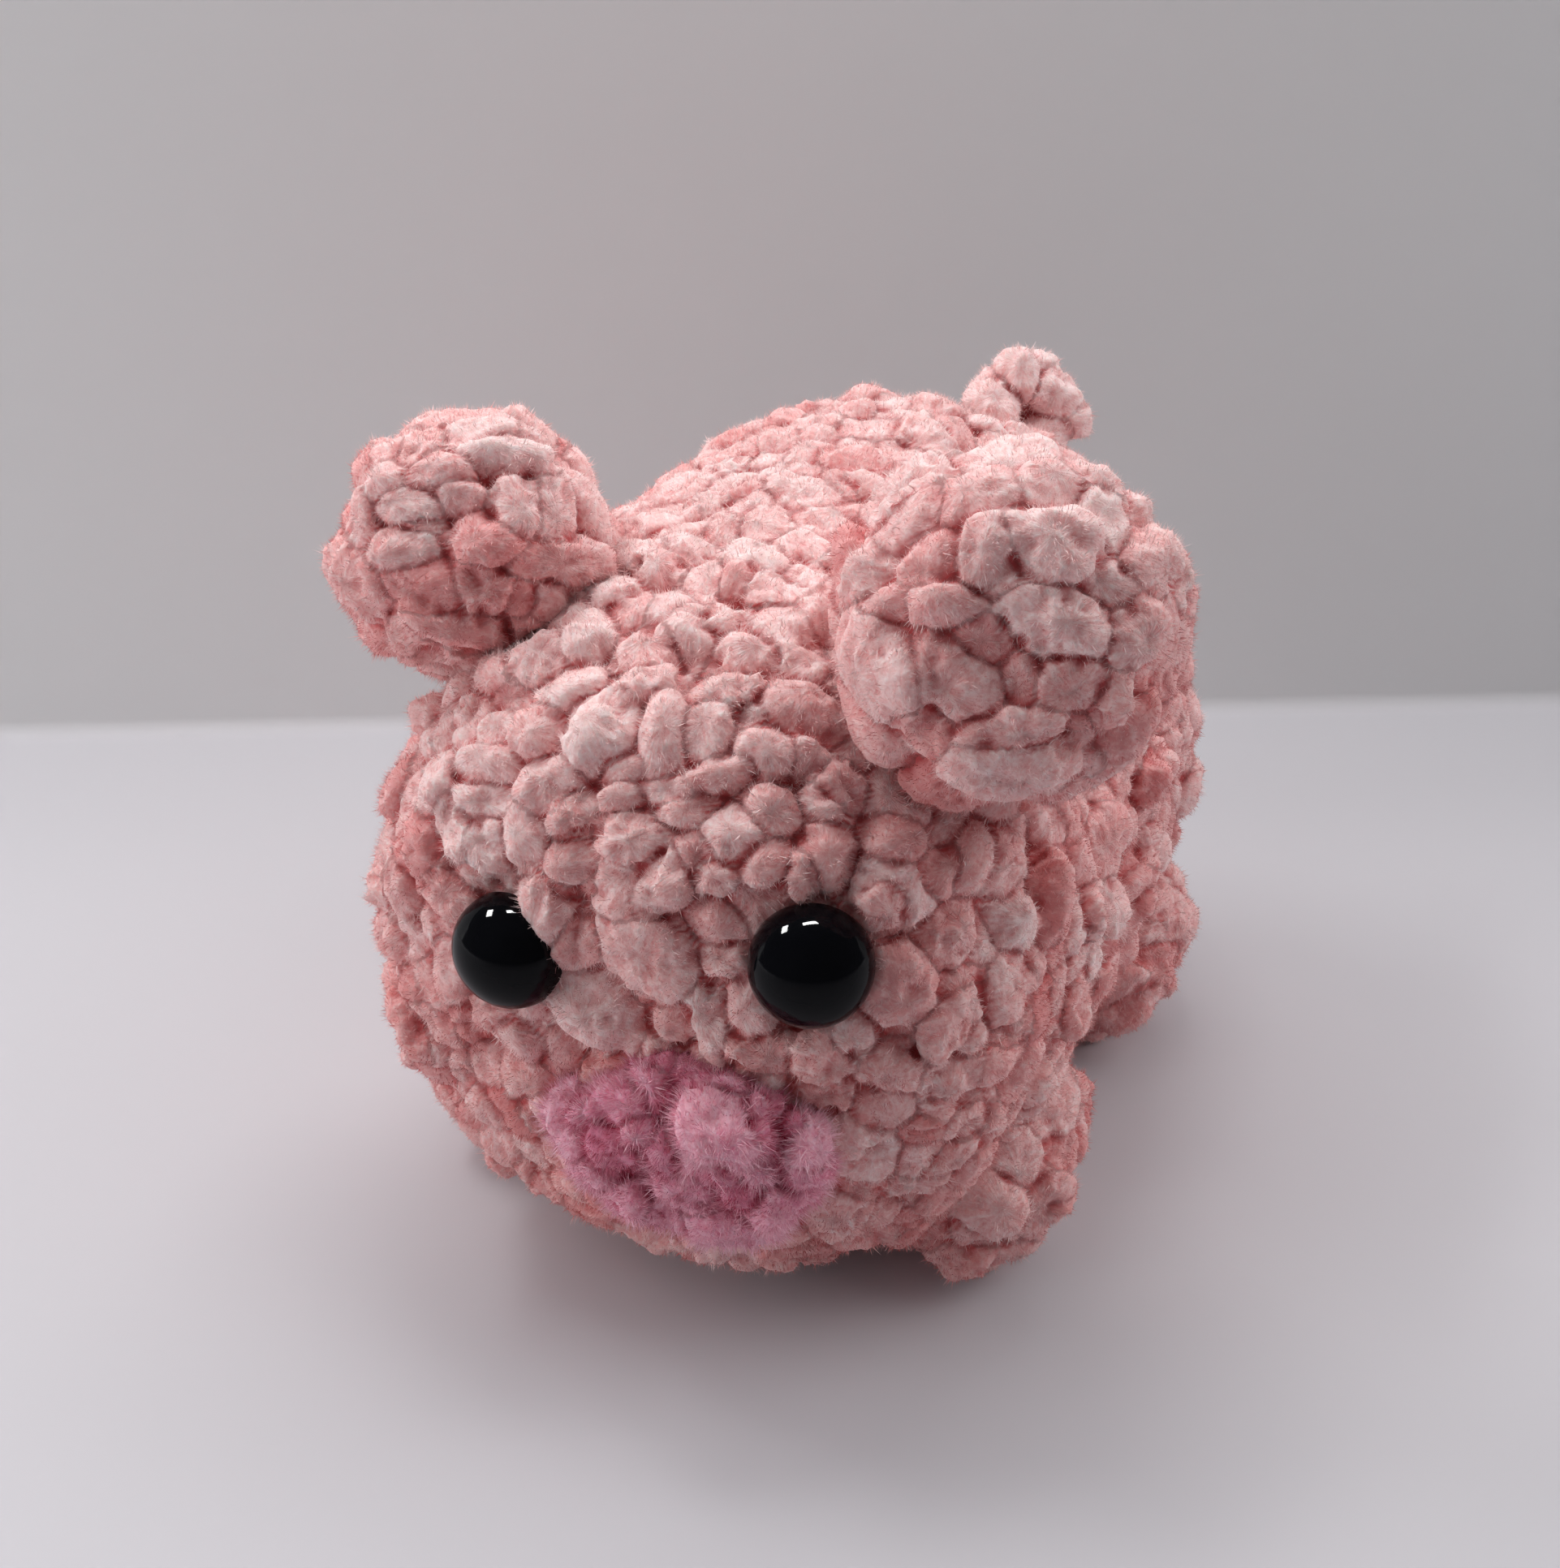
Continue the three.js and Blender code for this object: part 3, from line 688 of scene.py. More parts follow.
def yarnFinish(name, tints):
    made = Finish(name, {
        "Roughness": 0.95,
        "Specular IOR Level": 0.15,
        "Sheen Weight": tints["sheen"],
        "Sheen Roughness": 0.45,
        "Sheen Tint": (*tints["pale"], 1),
        "Subsurface Weight": 0.35,
        "Subsurface Radius": (1.0, 0.38, 0.32),
        "Subsurface Scale": 0.0022,
    })
    grain, place = yarnGrain, made.objectPlace()
    fine = made.noise(place, grain["fineScale"], 3, 0.65)
    patch = made.noise(place, grain["patchScale"], 2)
    ray = made.noise(made.vector("streak"), grain["rayScale"], 3, 0.6)
    crease, tone = made.value("crease"), made.value("tone")
    # Pale yarn in random streaks and patches, plus painted light where the tone says a lobe is lit
    mottle = (ray - 0.5) * grain["paleByRay"] + (fine - 0.5) * grain["paleByFine"]
    spread = tone * grain["paleByTone"] + (patch - 0.5) * grain["paleByPatch"]
    colour = made.mix((mottle + spread + grain["pale"]).held(), tints["crest"], tints["pale"])
    # Painted shade: the deep pink goes into creases and onto lobes whose tone is painted deeper, with some
    # random speckle
    paintedShadeByTone = (tone * -grain["deepByTone"] - grain["deepFrom"]).held()
    deep = (crease * grain["deepByCrease"] + (0.5 - fine) * grain["deepByFine"] + paintedShadeByTone).held()
    made.feed(
        BaseColor=made.mix(deep, colour, tints["deep"]),
        Normal=made.bump(ray * 0.6 + fine * 0.5, grain["bumpDepth"], 0.8),
    )
    return made.material


# Pile: thin tapered fibres that stand on a yarn piece

bakeMap = "OFBake"  # the name of the map that the pile's finish reads; the export bakes a piece through its map of this name
mapEdge = 0.01  # how far in from the map's border its corners stay


def mapFibres(mesh, across, along):  # each corner's place on the pile's map: shade across, root to tip along
    layer = mesh.uv_layers.new(name=bakeMap)
    layer.uv.foreach_set("vector", np.stack([across, along], -1).astype(np.float32).ravel())


def pileOn(name, piece, skin, coat, material, rng):
    # One tapered triangle a fibre, rooted in the skin at random by area. Its way is the skin's normal, plus a
    # lean away from the middle of its lobe, plus noise shared with its neighbours, plus its own scatter
    mesh = piece.data
    mesh.calc_loop_triangles()
    corners = np.empty(len(mesh.loop_triangles) * 3, np.int32)
    mesh.loop_triangles.foreach_get("vertices", corners)
    corners = corners.reshape(-1, 3)
    points = skin["points"]
    a, b, c = (points[corners[:, k]] for k in range(3))
    area = np.linalg.norm(np.cross(b - a, c - a), axis=1) / 2
    count = int(area.sum() * coat["density"])
    chosen = np.searchsorted(np.cumsum(area), rng.random(count) * area.sum())
    chosen = np.minimum(chosen, len(area) - 1)
    share = rng.random((count, 2))
    share = np.where(share.sum(1, keepdims=True) > 1, 1 - share, share)
    root = a[chosen] + share[:, :1] * (b - a)[chosen] + share[:, 1:] * (c - a)[chosen]
    nearest = corners[chosen, 0]
    normal, spoke = skin["normals"][nearest], skin["spoke"][nearest]
    crease, tone = skin["crease"][nearest], skin["tone"][nearest]
    lean = coat["lean"] * rng.uniform(*coat["leanRange"], count)[:, None]
    place = root / coat["clumpSize"]
    clump = np.stack([latticeNoise(place, seed) for seed in (41, 42, 43)], 1)
    tuft = latticeNoise(place * coat["tuftScale"], 44)
    way = unit(normal + spoke * lean + clump * coat["clump"] + rng.normal(0, coat["scatter"], (count, 3)))
    frost = np.where(rng.random(count) < coat["frostShare"], coat["frost"], 0)
    length = rng.uniform(*coat["length"], count) * (1 - coat["shortInCrease"] * crease)
    length = length * (1 + coat["tuftLength"] * tuft + coat["frostLength"] * frost)
    wide = unit(np.cross(way, normal) + rng.normal(0, coat["twist"], (count, 3))) * coat["width"] / 2
    wide = wide * (1 + frost)[:, None]
    root = root - normal * coat["sink"]
    tip = root + way * length[:, None]
    fibres = np.stack([root - wide, root + wide, tip], 1)
    if skin["floor"]:
        fibres[:, :, 2] = np.maximum(fibres[:, :, 2], coat["offFloor"])
    # The fibre's shade is painted: paler with its lobe's painted light and as a highlight on frosted fibres,
    # deeper in creases where shade falls, with random tufts and spread
    shade = coat["shade"] + coat["shadeByTone"] * tone + coat["shadeByTuft"] * tuft
    shade = shade + rng.normal(0, coat["shadeSpread"], count)
    shade = shade - coat["shadeByCrease"] * crease + coat["shadeByFrost"] * frost
    shade = np.clip(shade, 2 * mapEdge, 1 - 2 * mapEdge)
    parts = int(np.ceil(count / coat["mostFibres"]))
    for part in range(parts):
        own = slice(part, None, parts)
        some = len(shade[own])
        label = name if parts == 1 else name + "_" + str(part + 1)
        faces = np.arange(some * 3).reshape(-1, 3)
        pile = pieceFrom(label, fibres[own].reshape(-1, 3), faces)
        across = (shade[own][:, None] + np.array([-mapEdge, mapEdge, 0])).ravel()
        mapFibres(pile.data, across, np.tile([mapEdge, mapEdge, 1 - mapEdge], some))
        pile.data.materials.append(material)
        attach(pile, skin["body"])
    print(name + ":", count, "fibres")


pileGrain = {  # painted highlight and shade: fibres get paler towards the tip, the pale ones most, and deeper towards the root
    "paleByShade": 0.5,
    "paleByTip": 0.3,
    "paleByBoth": 1.3,
    "paleFrom": 0.2,
    "deep": 0.75,
    "deepLessByShade": 1.2,
    "deepLessByTip": 0.25,
}


def pileFinish(name, tints):
    made = Finish(name, {
        "Roughness": 0.6,
        "Specular IOR Level": 0.05,
        "Sheen Weight": tints["sheen"],
        "Sheen Roughness": 0.4,
        "Sheen Tint": (*tints["pale"], 1),
    })
    spot = made.node("ShaderNodeUVMap", {"uv_map": bakeMap})
    apart = made.node("ShaderNodeSeparateXYZ", {}, {"Vector": spot})
    shade, along = apart.out("X"), apart.out("Y")
    grain = pileGrain
    byTip = along * (shade * grain["paleByBoth"] + grain["paleByTip"])
    pale = (byTip + shade * grain["paleByShade"] - grain["paleFrom"]).held()
    deep = (grain["deep"] - shade * grain["deepLessByShade"] - along * grain["deepLessByTip"]).held()
    made.feed(BaseColor=made.mix(deep, made.mix(pale, tints["crest"], tints["pale"]), tints["deep"]))
    return made.material


# Yarn pieces

yarnRelief = {
    "spokes": 5.0,
    "spokeFrom": 0.05,  # share of a lobe's half size within which the spokes fade
    "tuftSize": 1.7,
    "tuft": 0.38,
    "fineSize": 0.85,
    "fine": 0.18,
    "ray": 0.12,
    "roughRange": (0.4, 1.6),
    "edgeWidth": 0.11,
    "groove": 0.26,
    "edgeShare": 0.35,
    "rayDrift": 2.0,
    "rayGrowth": 1.5,
    "topTone": 2.6,  # painted light and shade: how much paler a lobe is painted where it faces up, and deeper where it faces down
    "plainUp": 0.3,
    "leastUp": -0.45,
    "hollowPasses": 3,
    "hollowFull": 0.08,
    "squarish": 0.90,
    "bumps": 0.12,
    "voxel": 0.48,
    "softening": 2,
}
pinkCoat = {
    "density": 14.0,  # fibres on a square millimetre
    "mostFibres": 190000,
    "length": (0.4, 1.1),
    "width": 0.09,
    "lean": 0.28,
    "leanRange": (0.4, 1.3),
    "clumpSize": 0.75,
    "clump": 1.3,
    "scatter": 0.42,
    "shortInCrease": 0.5,
    "frostShare": 0.06,  # of the fibres that are wider and longer by this much, and painted paler by it as a highlight
    "frost": 0.8,
    "frostLength": 0.3,
    "tuftScale": 0.7,
    "tuftLength": 0.45,
    "twist": 0.25,
    "offFloor": 0.02,
    "shade": 0.47,  # 0 is deep and 1 is pale
    # Painted light and shade on the fibres: by the tone, in creases and on frosted fibres
    "shadeByTone": 0.17,
    "shadeByTuft": 0.42,
    "shadeSpread": 0.1,
    "shadeByCrease": 0.35,
    "shadeByFrost": 0.3,
    "sink": 0.2,
}
pinkFinishes = yarnFinish("pinkChenille", pinkYarn), pileFinish("pinkPile", pinkYarn)


def yarnPiece(name, lobes, bed, replaced, rng, body="pig_body", slot="pink_yarn",
              relief=yarnRelief, coat=pinkCoat, finishes=pinkFinishes, shape=None, onFloor=False):
    # Lobes and their bed fused into one skin, shaped where it meets the body, tufted, finished and given pile
    points, faces = stacked(lobeMesh(lobes, relief["squarish"], relief["bumps"], rng), *bed)
    piece = fused(name, points, faces, relief["voxel"], relief["softening"])
    skin = dressYarn(piece, lobes, relief, rng, shape, onFloor)
    piece.data.materials.append(finishes[0])
    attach(piece, body)
    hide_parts(*replaced)
    print(name + ":", len(lobes["centre"]), "lobes,", len(piece.data.polygons), "faces")
    skin.update(body=body, slot=slot, floor=onFloor)
    pileOn(name + "_pile", piece, skin, coat, finishes[1], rng)


# Body

bodyGauge = {
    "roundHeight": 5.2,
    "stitchWidth": 6.1,
    "fewest": 5,
    "lean": 0.27,  # stitches that each round starts further round
    "wander": 0.22,
    "spiral": 1.0,
}
bodyPlump = {
    "pairShare": 0.25,
    "across": 0.78,
    "along": 0.86,
    "legAcross": 0.52,
    "legAlong": 0.94,
    "legSpread": 0.27,
    "legTurn": 0.4,
    "rise": 3.1,
    "turn": 0.5,
    "tip": -0.26,
    "tipSpread": 0.3,
    "sizeSpread": 0.24,
    "liftSpread": 0.5,
}
bedDepth = 1.8  # how far the closed bed under the lobes lies below their crests

# Stitches on the front of the body as the photograph shows them
# The seventh number, where a row has one, is painted light and shade: paler on lit stitches, deeper on
# stitches in shadow, such as those beside an eye in the shadow of the ear above
faceStitches = [
    (622, 847, 80, 58, -8, 0.2), (692, 842, 88, 52, 0, 0.3), (790, 838, 98, 46, 0, 0.1),
    (893, 846, 95, 50, -4, 0), (1000, 875, 108, 64, 8, 0.6), (603, 892, 54, 58, 0, 0.4, 1.5),
    (658, 898, 62, 72, 6, 0.1), (735, 896, 86, 92, 80, 0.8, 0.8), (814, 902, 64, 102, 0, 0.7, 0.8),
    (870, 896, 64, 76, 10, 0.3, 1), (925, 884, 52, 44, 0, -0.2), (944, 925, 74, 68, 20, 0.4),
    (992, 926, 52, 62, 0, 0.1), (1066, 930, 62, 62, 0, -0.3, -1.1), (1042, 968, 64, 74, 0, 0.2, -1.1),
    (592, 938, 84, 54, 0, 0.3, 1.5), (672, 962, 80, 68, -20, 0.4), (768, 946, 76, 38, -12, 0),
    (893, 950, 104, 40, -12, 0.5), (588, 984, 78, 46, 0, 0.2, 1.5), (704, 992, 66, 42, 0, -0.4),
    (757, 984, 62, 46, 0, -0.2), (826, 968, 80, 42, 0, 0), (845, 998, 74, 42, -8, -0.2),
    (948, 996, 72, 62, 20, 0.6), (1022, 994, 74, 50, 24, 0), (639, 1037, 50, 80, 0, 0.8, 1.5),
    (590, 1042, 52, 72, 0, 0.2, 1.5), (690, 1020, 54, 44, 0, -0.4), (770, 1036, 88, 58, 10, 0.6),
    (906, 1026, 74, 66, -20, 0.8, 1.6), (858, 1050, 64, 50, -30, 0), (948, 1058, 62, 60, -20, 0.4),
    (985, 1076, 38, 58, 0, 0.5, -1.1), (1026, 1046, 74, 70, 30, 0.4, -1.1),
    (1110, 1030, 86, 68, 0, 0.5, -1.6), (1166, 1072, 72, 66, -20, 0.6, -1.1), (698, 1066, 74, 46, 0, 0.3),
    (742, 1092, 62, 46, 0, -0.2), (806, 1096, 88, 56, -42, 0.9), (876, 1082, 62, 46, 15, 0.2),
    (668, 1092, 48, 50, 0, 0), (668, 1134, 58, 92, 8, 1.1, 1.2), (706, 1170, 78, 62, -30, 0.9),
    (792, 1176, 124, 70, 22, 1.3, 1), (727, 1247, 124, 76, 40, 1.4, 1.6), (652, 1254, 54, 88, 10, 0.6, 1),
    (876, 1142, 62, 60, 0, 0.2), (884, 1192, 66, 50, 0, -0.2), (872, 1252, 48, 96, 0, 0.6, 1),
    (926, 1248, 60, 84, 0, 0.4), (826, 1264, 64, 48, 0, 0.5), (806, 1230, 70, 44, 0, -0.6),
    (1090, 1114, 56, 68, 0, 0.6, -1.1), (1116, 1228, 74, 92, 0, 0.5), (945, 1298, 104, 58, 10, 0.5),
    (1006, 1346, 82, 66, 0, 0.7), (1044, 1290, 70, 50, -20, 0.2), (738, 1326, 72, 48, -20, 0.2),
    (1180, 1150, 66, 80, 30, 0.5, -1.1), (1172, 1330, 90, 60, -10, 0.3), (1098, 1330, 80, 56, 0, 0.2),
    (722, 782, 66, 60, 0, 1.0, 1.8), (668, 812, 78, 52, -10, 1.3), (752, 730, 70, 66, -30, 1.5),
    (612, 834, 70, 46, 0, 1.2), (790, 690, 66, 66, -30, 1.2), (706, 756, 72, 50, -20, 1.4),
    (812, 706, 60, 54, 0, 1.0), (566, 848, 60, 54, 0, 1.0), (792, 790, 84, 56, 0, 0.3),
    (858, 770, 80, 60, 10, 0.2), (926, 800, 90, 62, 0, 0.2), (1000, 812, 80, 56, 0, 0.2),
]
eyeSeat = {
    "radius": 6.0,
    "sink": 1.4,
    "dome": 6.4,
    "rim": 1.1,
    "edge": (0.25, 0.07),  # the round under the rim: its size, and how far its middle is cut in
    "stem": 1.7,
    "stemLength": 12.0,
    "taper": 0.7,
    "ridge": 0.35,
    "pitch": 1.3,
    "washer": 6.4,
    "washerBottom": -6.9,
    "domeSteps": 40,
    "girthSteps": 96,
    "lobeShare": 0.62,  # of a lobe's half size that has to stay clear of the eye
    "nearLevel": 9,
}


def eyeSpot(side):  # an eye's point on the body and its way out, in the pig's frame
    at = onFace(side * bodyShape["eyeAside"], bodyShape["eyeRise"])
    return moved(body.place, at), turned(body.place, body.outward(at))


def clearOfEyes(lobes):  # slides lobes off the eyes' round seats, on their own level
    centre = lobes["centre"].copy()
    for side in (1, -1):
        point, out = eyeSpot(side)
        apart = centre - point
        level = apart @ out
        flat = apart - level[:, None] * out
        distance = np.linalg.norm(flat, axis=1)
        reach = eyeSeat["radius"] + lobes["half"][:, :2].mean(1) * eyeSeat["lobeShare"]
        near = (distance < reach) & (np.abs(level) < eyeSeat["nearLevel"])
        push = np.where(near, reach - distance, 0)
        centre += unit(flat) * push[:, None]
    return {**lobes, "centre": centre}


def makeBody():
    rng = np.random.default_rng(41)
    lobes = clearOfEyes(lobesOn(stitchRounds(body, bodyGauge, rng), bodyPlump, rng))
    lobes = withSeen(lobes, seenLobes(body, faceStitches, rng))
    yarnPiece("body_stitches", lobes, [ovalMesh(body, -bedDepth)], ["body_cover"], rng, onFloor=True)


makeBody()


# Ears

earShapes = {
    "left": {
        "radius": 16.8, "depth": 14.5, "standOff": 12.5,
        "along": -0.4625, "girth": 37.8,  # its root on the body
        "turn": 17, "lift": 15,  # the way it faces
        "seed": 52,
    },
    "right": {
        "radius": 14.4, "depth": 13.0, "standOff": 8.2,
        "along": -0.4348, "girth": -35.4,
        "turn": 8, "lift": 29,
        "seed": 63,
    },
}
earPower = 2.3
earInset = 0.7  # how far the stitches' crests lie inside the ear's size, to leave room for the pile
earNeck = {"radius": 7.5, "power": 2.4, "long": 0.62, "at": 0.55}  # the last two as shares of the stand-off
earBed = 1.9
earOffBody = 0.5  # lobes nearer to the body than this, or in it, are left out
earGauge = {**bodyGauge, "roundHeight": 6.0, "stitchWidth": 7.2, "fewest": 5}
earPlump = {**bodyPlump, "rise": 3.5, "pairShare": 0.1, "liftSpread": 0.5}
# The seventh number, where a row has one, is painted light and shade: deeper in the cupped middle of the ear,
# paler on its lit rim
earStitches = {
    "left": [
        (1312, 766, 126, 86, 14, 0.2, 2.2), (1206, 792, 88, 74, -10, -1.0, -1.6),
        (1168, 846, 130, 76, 42, 0.4, 1.2), (1216, 678, 92, 84, 0, 0.4), (1300, 666, 112, 86, 10, 1.0, 1),
        (1356, 710, 122, 58, 32, -0.4, 1.5), (1408, 782, 84, 78, 70, 0.1, 1.5), (1154, 748, 86, 54, -5, 0.4),
        (1084, 746, 70, 50, -10, 0.2), (1140, 684, 82, 66, -30, 0.3), (1108, 640, 120, 48, -36, 0.4),
        (1196, 602, 124, 60, -6, 0.4), (1290, 592, 92, 58, 10, 0.6), (1366, 628, 86, 60, 36, 0.2, 1.5),
        (1418, 618, 60, 50, 40, 0.5, 1.5), (1428, 690, 60, 78, 0, 0.4, 1.5), (1464, 704, 40, 92, 0, 0.5, 2),
        (1326, 852, 92, 76, -30, -0.4), (1266, 850, 62, 82, 0, -1.0, -1.6), (1382, 862, 54, 62, 0, 0.3),
        (1256, 904, 142, 50, 0, 0.5), (1256, 950, 156, 62, 4, 1.3, 1.5), (1136, 900, 112, 52, 42, 0.4),
        (1068, 822, 88, 80, 30, 1.2, 1.8), (1052, 772, 52, 50, 0, 0.2), (1056, 704, 66, 60, -40, 0.4),
        (1160, 560, 116, 36, -14, 0.3), (1404, 910, 44, 84, 0, 0.2),
    ],
    "right": [
        (634, 630, 58, 84, 6, 1.1, 1), (598, 664, 92, 62, 0, 0.9, -1.2), (496, 624, 88, 40, 0, 0.6, 1),
        (484, 678, 82, 50, 0, 0.7), (520, 655, 76, 34, 0, -0.7, -2), (560, 612, 76, 48, 0, 0.1, -1.2),
        (540, 576, 98, 50, -14, 0.5, -1.2), (608, 562, 118, 40, 6, 0.9, 1.2), (588, 526, 96, 52, 0, 0.6),
        (642, 536, 62, 42, 20, 0.4), (655, 506, 54, 40, 0, 1.4), (516, 546, 76, 42, -36, 0.5, -1.2),
        (474, 592, 60, 52, -56, 0.5), (444, 644, 40, 82, 0, 0.6, 2), (688, 636, 56, 92, 0, 0.5),
        (726, 600, 100, 60, 48, 0.5), (694, 690, 92, 58, -8, 0.6, -1.2), (742, 692, 46, 58, 0, 0.2),
        (510, 722, 112, 60, 8, 0.7, -1.2), (596, 728, 92, 60, 10, 0.6, -1.2),
        (640, 740, 50, 56, 0, 0.2, -1.2), (562, 778, 132, 46, 14, 0.4, -1.2),
        (492, 782, 84, 60, 36, 0.4, 0.8), (540, 822, 96, 50, 20, 0.2, 1), (652, 782, 64, 48, -30, 0.1),
    ],
}


def seamTurns(jointName):  # the places of a moving piece at each limit of its seam, then at rest
    joint = next(j for j in frame["joints"] if j["name"] == jointName)
    point = np.array(joint["pos_m"]) / mm
    return [turnAbout(point, joint["axis"], math.radians(angle)) for angle in (*joint["range_deg"], 0)]


pressedDepth = (2.0, 2.0, 0.8)  # how far into the body's form yarn may reach, in the order of those places


def clearBody(points, turns):
    # Moves points out of the body's form, with their piece in each of its places in turn
    for place, depth in zip(turns, pressedDepth):
        there = moved(place, points)
        deep = np.minimum(body.away(there) + depth, 0)
        points = moved(np.linalg.inv(place), there - deep[:, None] * body.wayOut(there))
    return points


def earForm(side, inset):  # an ear's form, smaller by the inset, its root on the body and the way out there
    ear = earShapes[side]
    root = onGirth(math.radians(ear["girth"]), ear["along"])
    out = body.outward(root)
    turn, lift = math.radians(ear["turn"]), math.radians(ear["lift"])
    facing = (math.sin(turn) * math.cos(lift), -math.cos(turn) * math.cos(lift), math.sin(lift))
    half = np.array([ear["radius"], ear["depth"], ear["radius"]]) - inset
    return Oval(half, earPower, body.place @ frameAt(root + out * ear["standOff"], facing)), root, out


def makeEar(side):
    ear = earShapes[side]
    rng = np.random.default_rng(ear["seed"])
    form, root, out = earForm(side, earInset)
    neckHalf = (earNeck["radius"], ear["standOff"] * earNeck["long"], earNeck["radius"])
    neckPlace = body.place @ frameAt(root + out * ear["standOff"] * earNeck["at"], out)
    neck = Oval(neckHalf, earNeck["power"], neckPlace)
    lobes = lobesOn(stitchRounds(form, earGauge, rng), earPlump, rng)
    lobes = withSeen(lobes, seenLobes(form, earStitches[side], rng))
    turns = seamTurns("ear_" + side + "_flop")
    lobes = picked(lobes, body.away(lobes["centre"]) > earOffBody)
    bed = [ovalMesh(form, -earBed), ovalMesh(neck, 0)]
    yarnPiece("ear_" + side + "_stitches", lobes, bed, ["ear_" + side], rng, body=side + "_ear",
              shape=lambda points: clearBody(points, turns))


for side in ("left", "right"):
    makeEar(side)


# Feet

footShape = {
    "half": (12.8, 10.9, 12.8),
    "power": 2.3,
    "down": 25,
    "aside": 27.4,
    "front": -17.27,
    "back": 30.73,
    "centreHeight": 12.3,
    "bed": 2.8,
    "inBody": -1.5,  # lobes deeper in the body than this are left out
}
footGauge = {**bodyGauge, "roundHeight": 5.8, "stitchWidth": 6.8}
footPlump = {**bodyPlump, "rise": 3.5, "pairShare": 0.15, "liftSpread": 0.6}


def makeFoot(end, side):
    rng = np.random.default_rng({"front": 71, "back": 82}[end] + (side == "left"))
    way = 1 if side == "left" else -1
    down = math.radians(footShape["down"])
    centre = (bodyShape["centre"][0] + way * footShape["aside"], footShape[end], footShape["centreHeight"])
    place = frameAt(centre, (way * math.cos(down), 0, -math.sin(down)), (0, 1, 0))
    form = Oval(footShape["half"], footShape["power"], place)
    lobes = lobesOn(stitchRounds(form, footGauge, rng), footPlump, rng)
    lobes = picked(lobes, body.away(lobes["centre"]) > footShape["inBody"])
    name = "foot_" + end + "_" + side
    bed = ovalMesh(form, -footShape["bed"])
    yarnPiece(name + "_stitches", lobes, [bed], [name], rng, onFloor=True)


for end in ("front", "back"):
    for side in ("left", "right"):
        makeFoot(end, side)


# Tail

tailShape = {
    "yarn": 3.5,
    "lobes": 8,
    "lobeHalf": (1.0, 0.86, 0.85),  # as shares of the yarn
    "sizeRange": (0.92, 1.12),
    "sway": 0.22,
    "slant": (0.3, 0.2, 1),  # a way that the chain never runs
    "curl": 3.2,
    "height": 4.0,
    "straight": 0.35,  # the part below the curl, as a share of it
    "advance": 5.0,
    "degrees": 215,
    "along": 0.85,
    "girth": 11,
    "tone": 2.4,
}


def makeTail():
    rng = np.random.default_rng(91)
    root = onGirth(math.radians(tailShape["girth"]), tailShape["along"])
    place = body.place @ frameAt(root, body.outward(root))
    n, straight, thick = tailShape["lobes"], tailShape["straight"], tailShape["yarn"]
    share = np.linspace(-straight, 1, n)
    turn = np.clip(share, 0, 1) * math.radians(tailShape["degrees"])
    path = np.stack([
        tailShape["curl"] * (1 - np.cos(turn)),
        tailShape["height"] * np.clip(1 + share / straight, 0, 1) + tailShape["curl"] * np.sin(turn),
        -tailShape["advance"] * np.clip(share, 0, 1),
    ], 1)
    along = unit(np.gradient(path, axis=0))
    side = unit(np.cross(along, tailShape["slant"]))
    third = np.cross(side, along)
    sway = np.where(np.arange(n) % 2, 1, -1)[:, None] * tailShape["sway"] * thick
    lobes = {
        "centre": moved(place, path + third * sway),
        "axes": np.stack([turned(place, way) for way in (side, along, third)], 2),
        "half": thick * np.array(tailShape["lobeHalf"]) * rng.uniform(*tailShape["sizeRange"], (n, 3)),
        "tone": np.full(n, tailShape["tone"]),
    }
    turns = seamTurns("tail_wag")
    yarnPiece("tail_stitches", lobes, [], ["tail"], rng, body="curled_tail",
              shape=lambda points: clearBody(points, turns))


makeTail()


# Snout

# The crest is the snout yarn's own colour; the pale goes into random streaks and onto the pile tips as a
# painted highlight, the deep where shade is painted, as along its top edge
snoutYarn = {
    "crest": linear(229, 140, 166),
    "pale": linear(252, 208, 220),
    "deep": linear(180, 40, 74),
    "sheen": 0.8,
}
snoutShape = {"half": (15.0, 5.0, 12.0), "power": 3.0, "bed": (12.5, 3.2, 9.5)}
snoutCoat = {**pinkCoat, "density": 20.0, "length": (0.7, 1.8), "lean": 0.7, "clumpSize": 1.1, "clump": 1.0}
snoutFinishes = yarnFinish("snoutChenille", snoutYarn), pileFinish("snoutPile", snoutYarn)
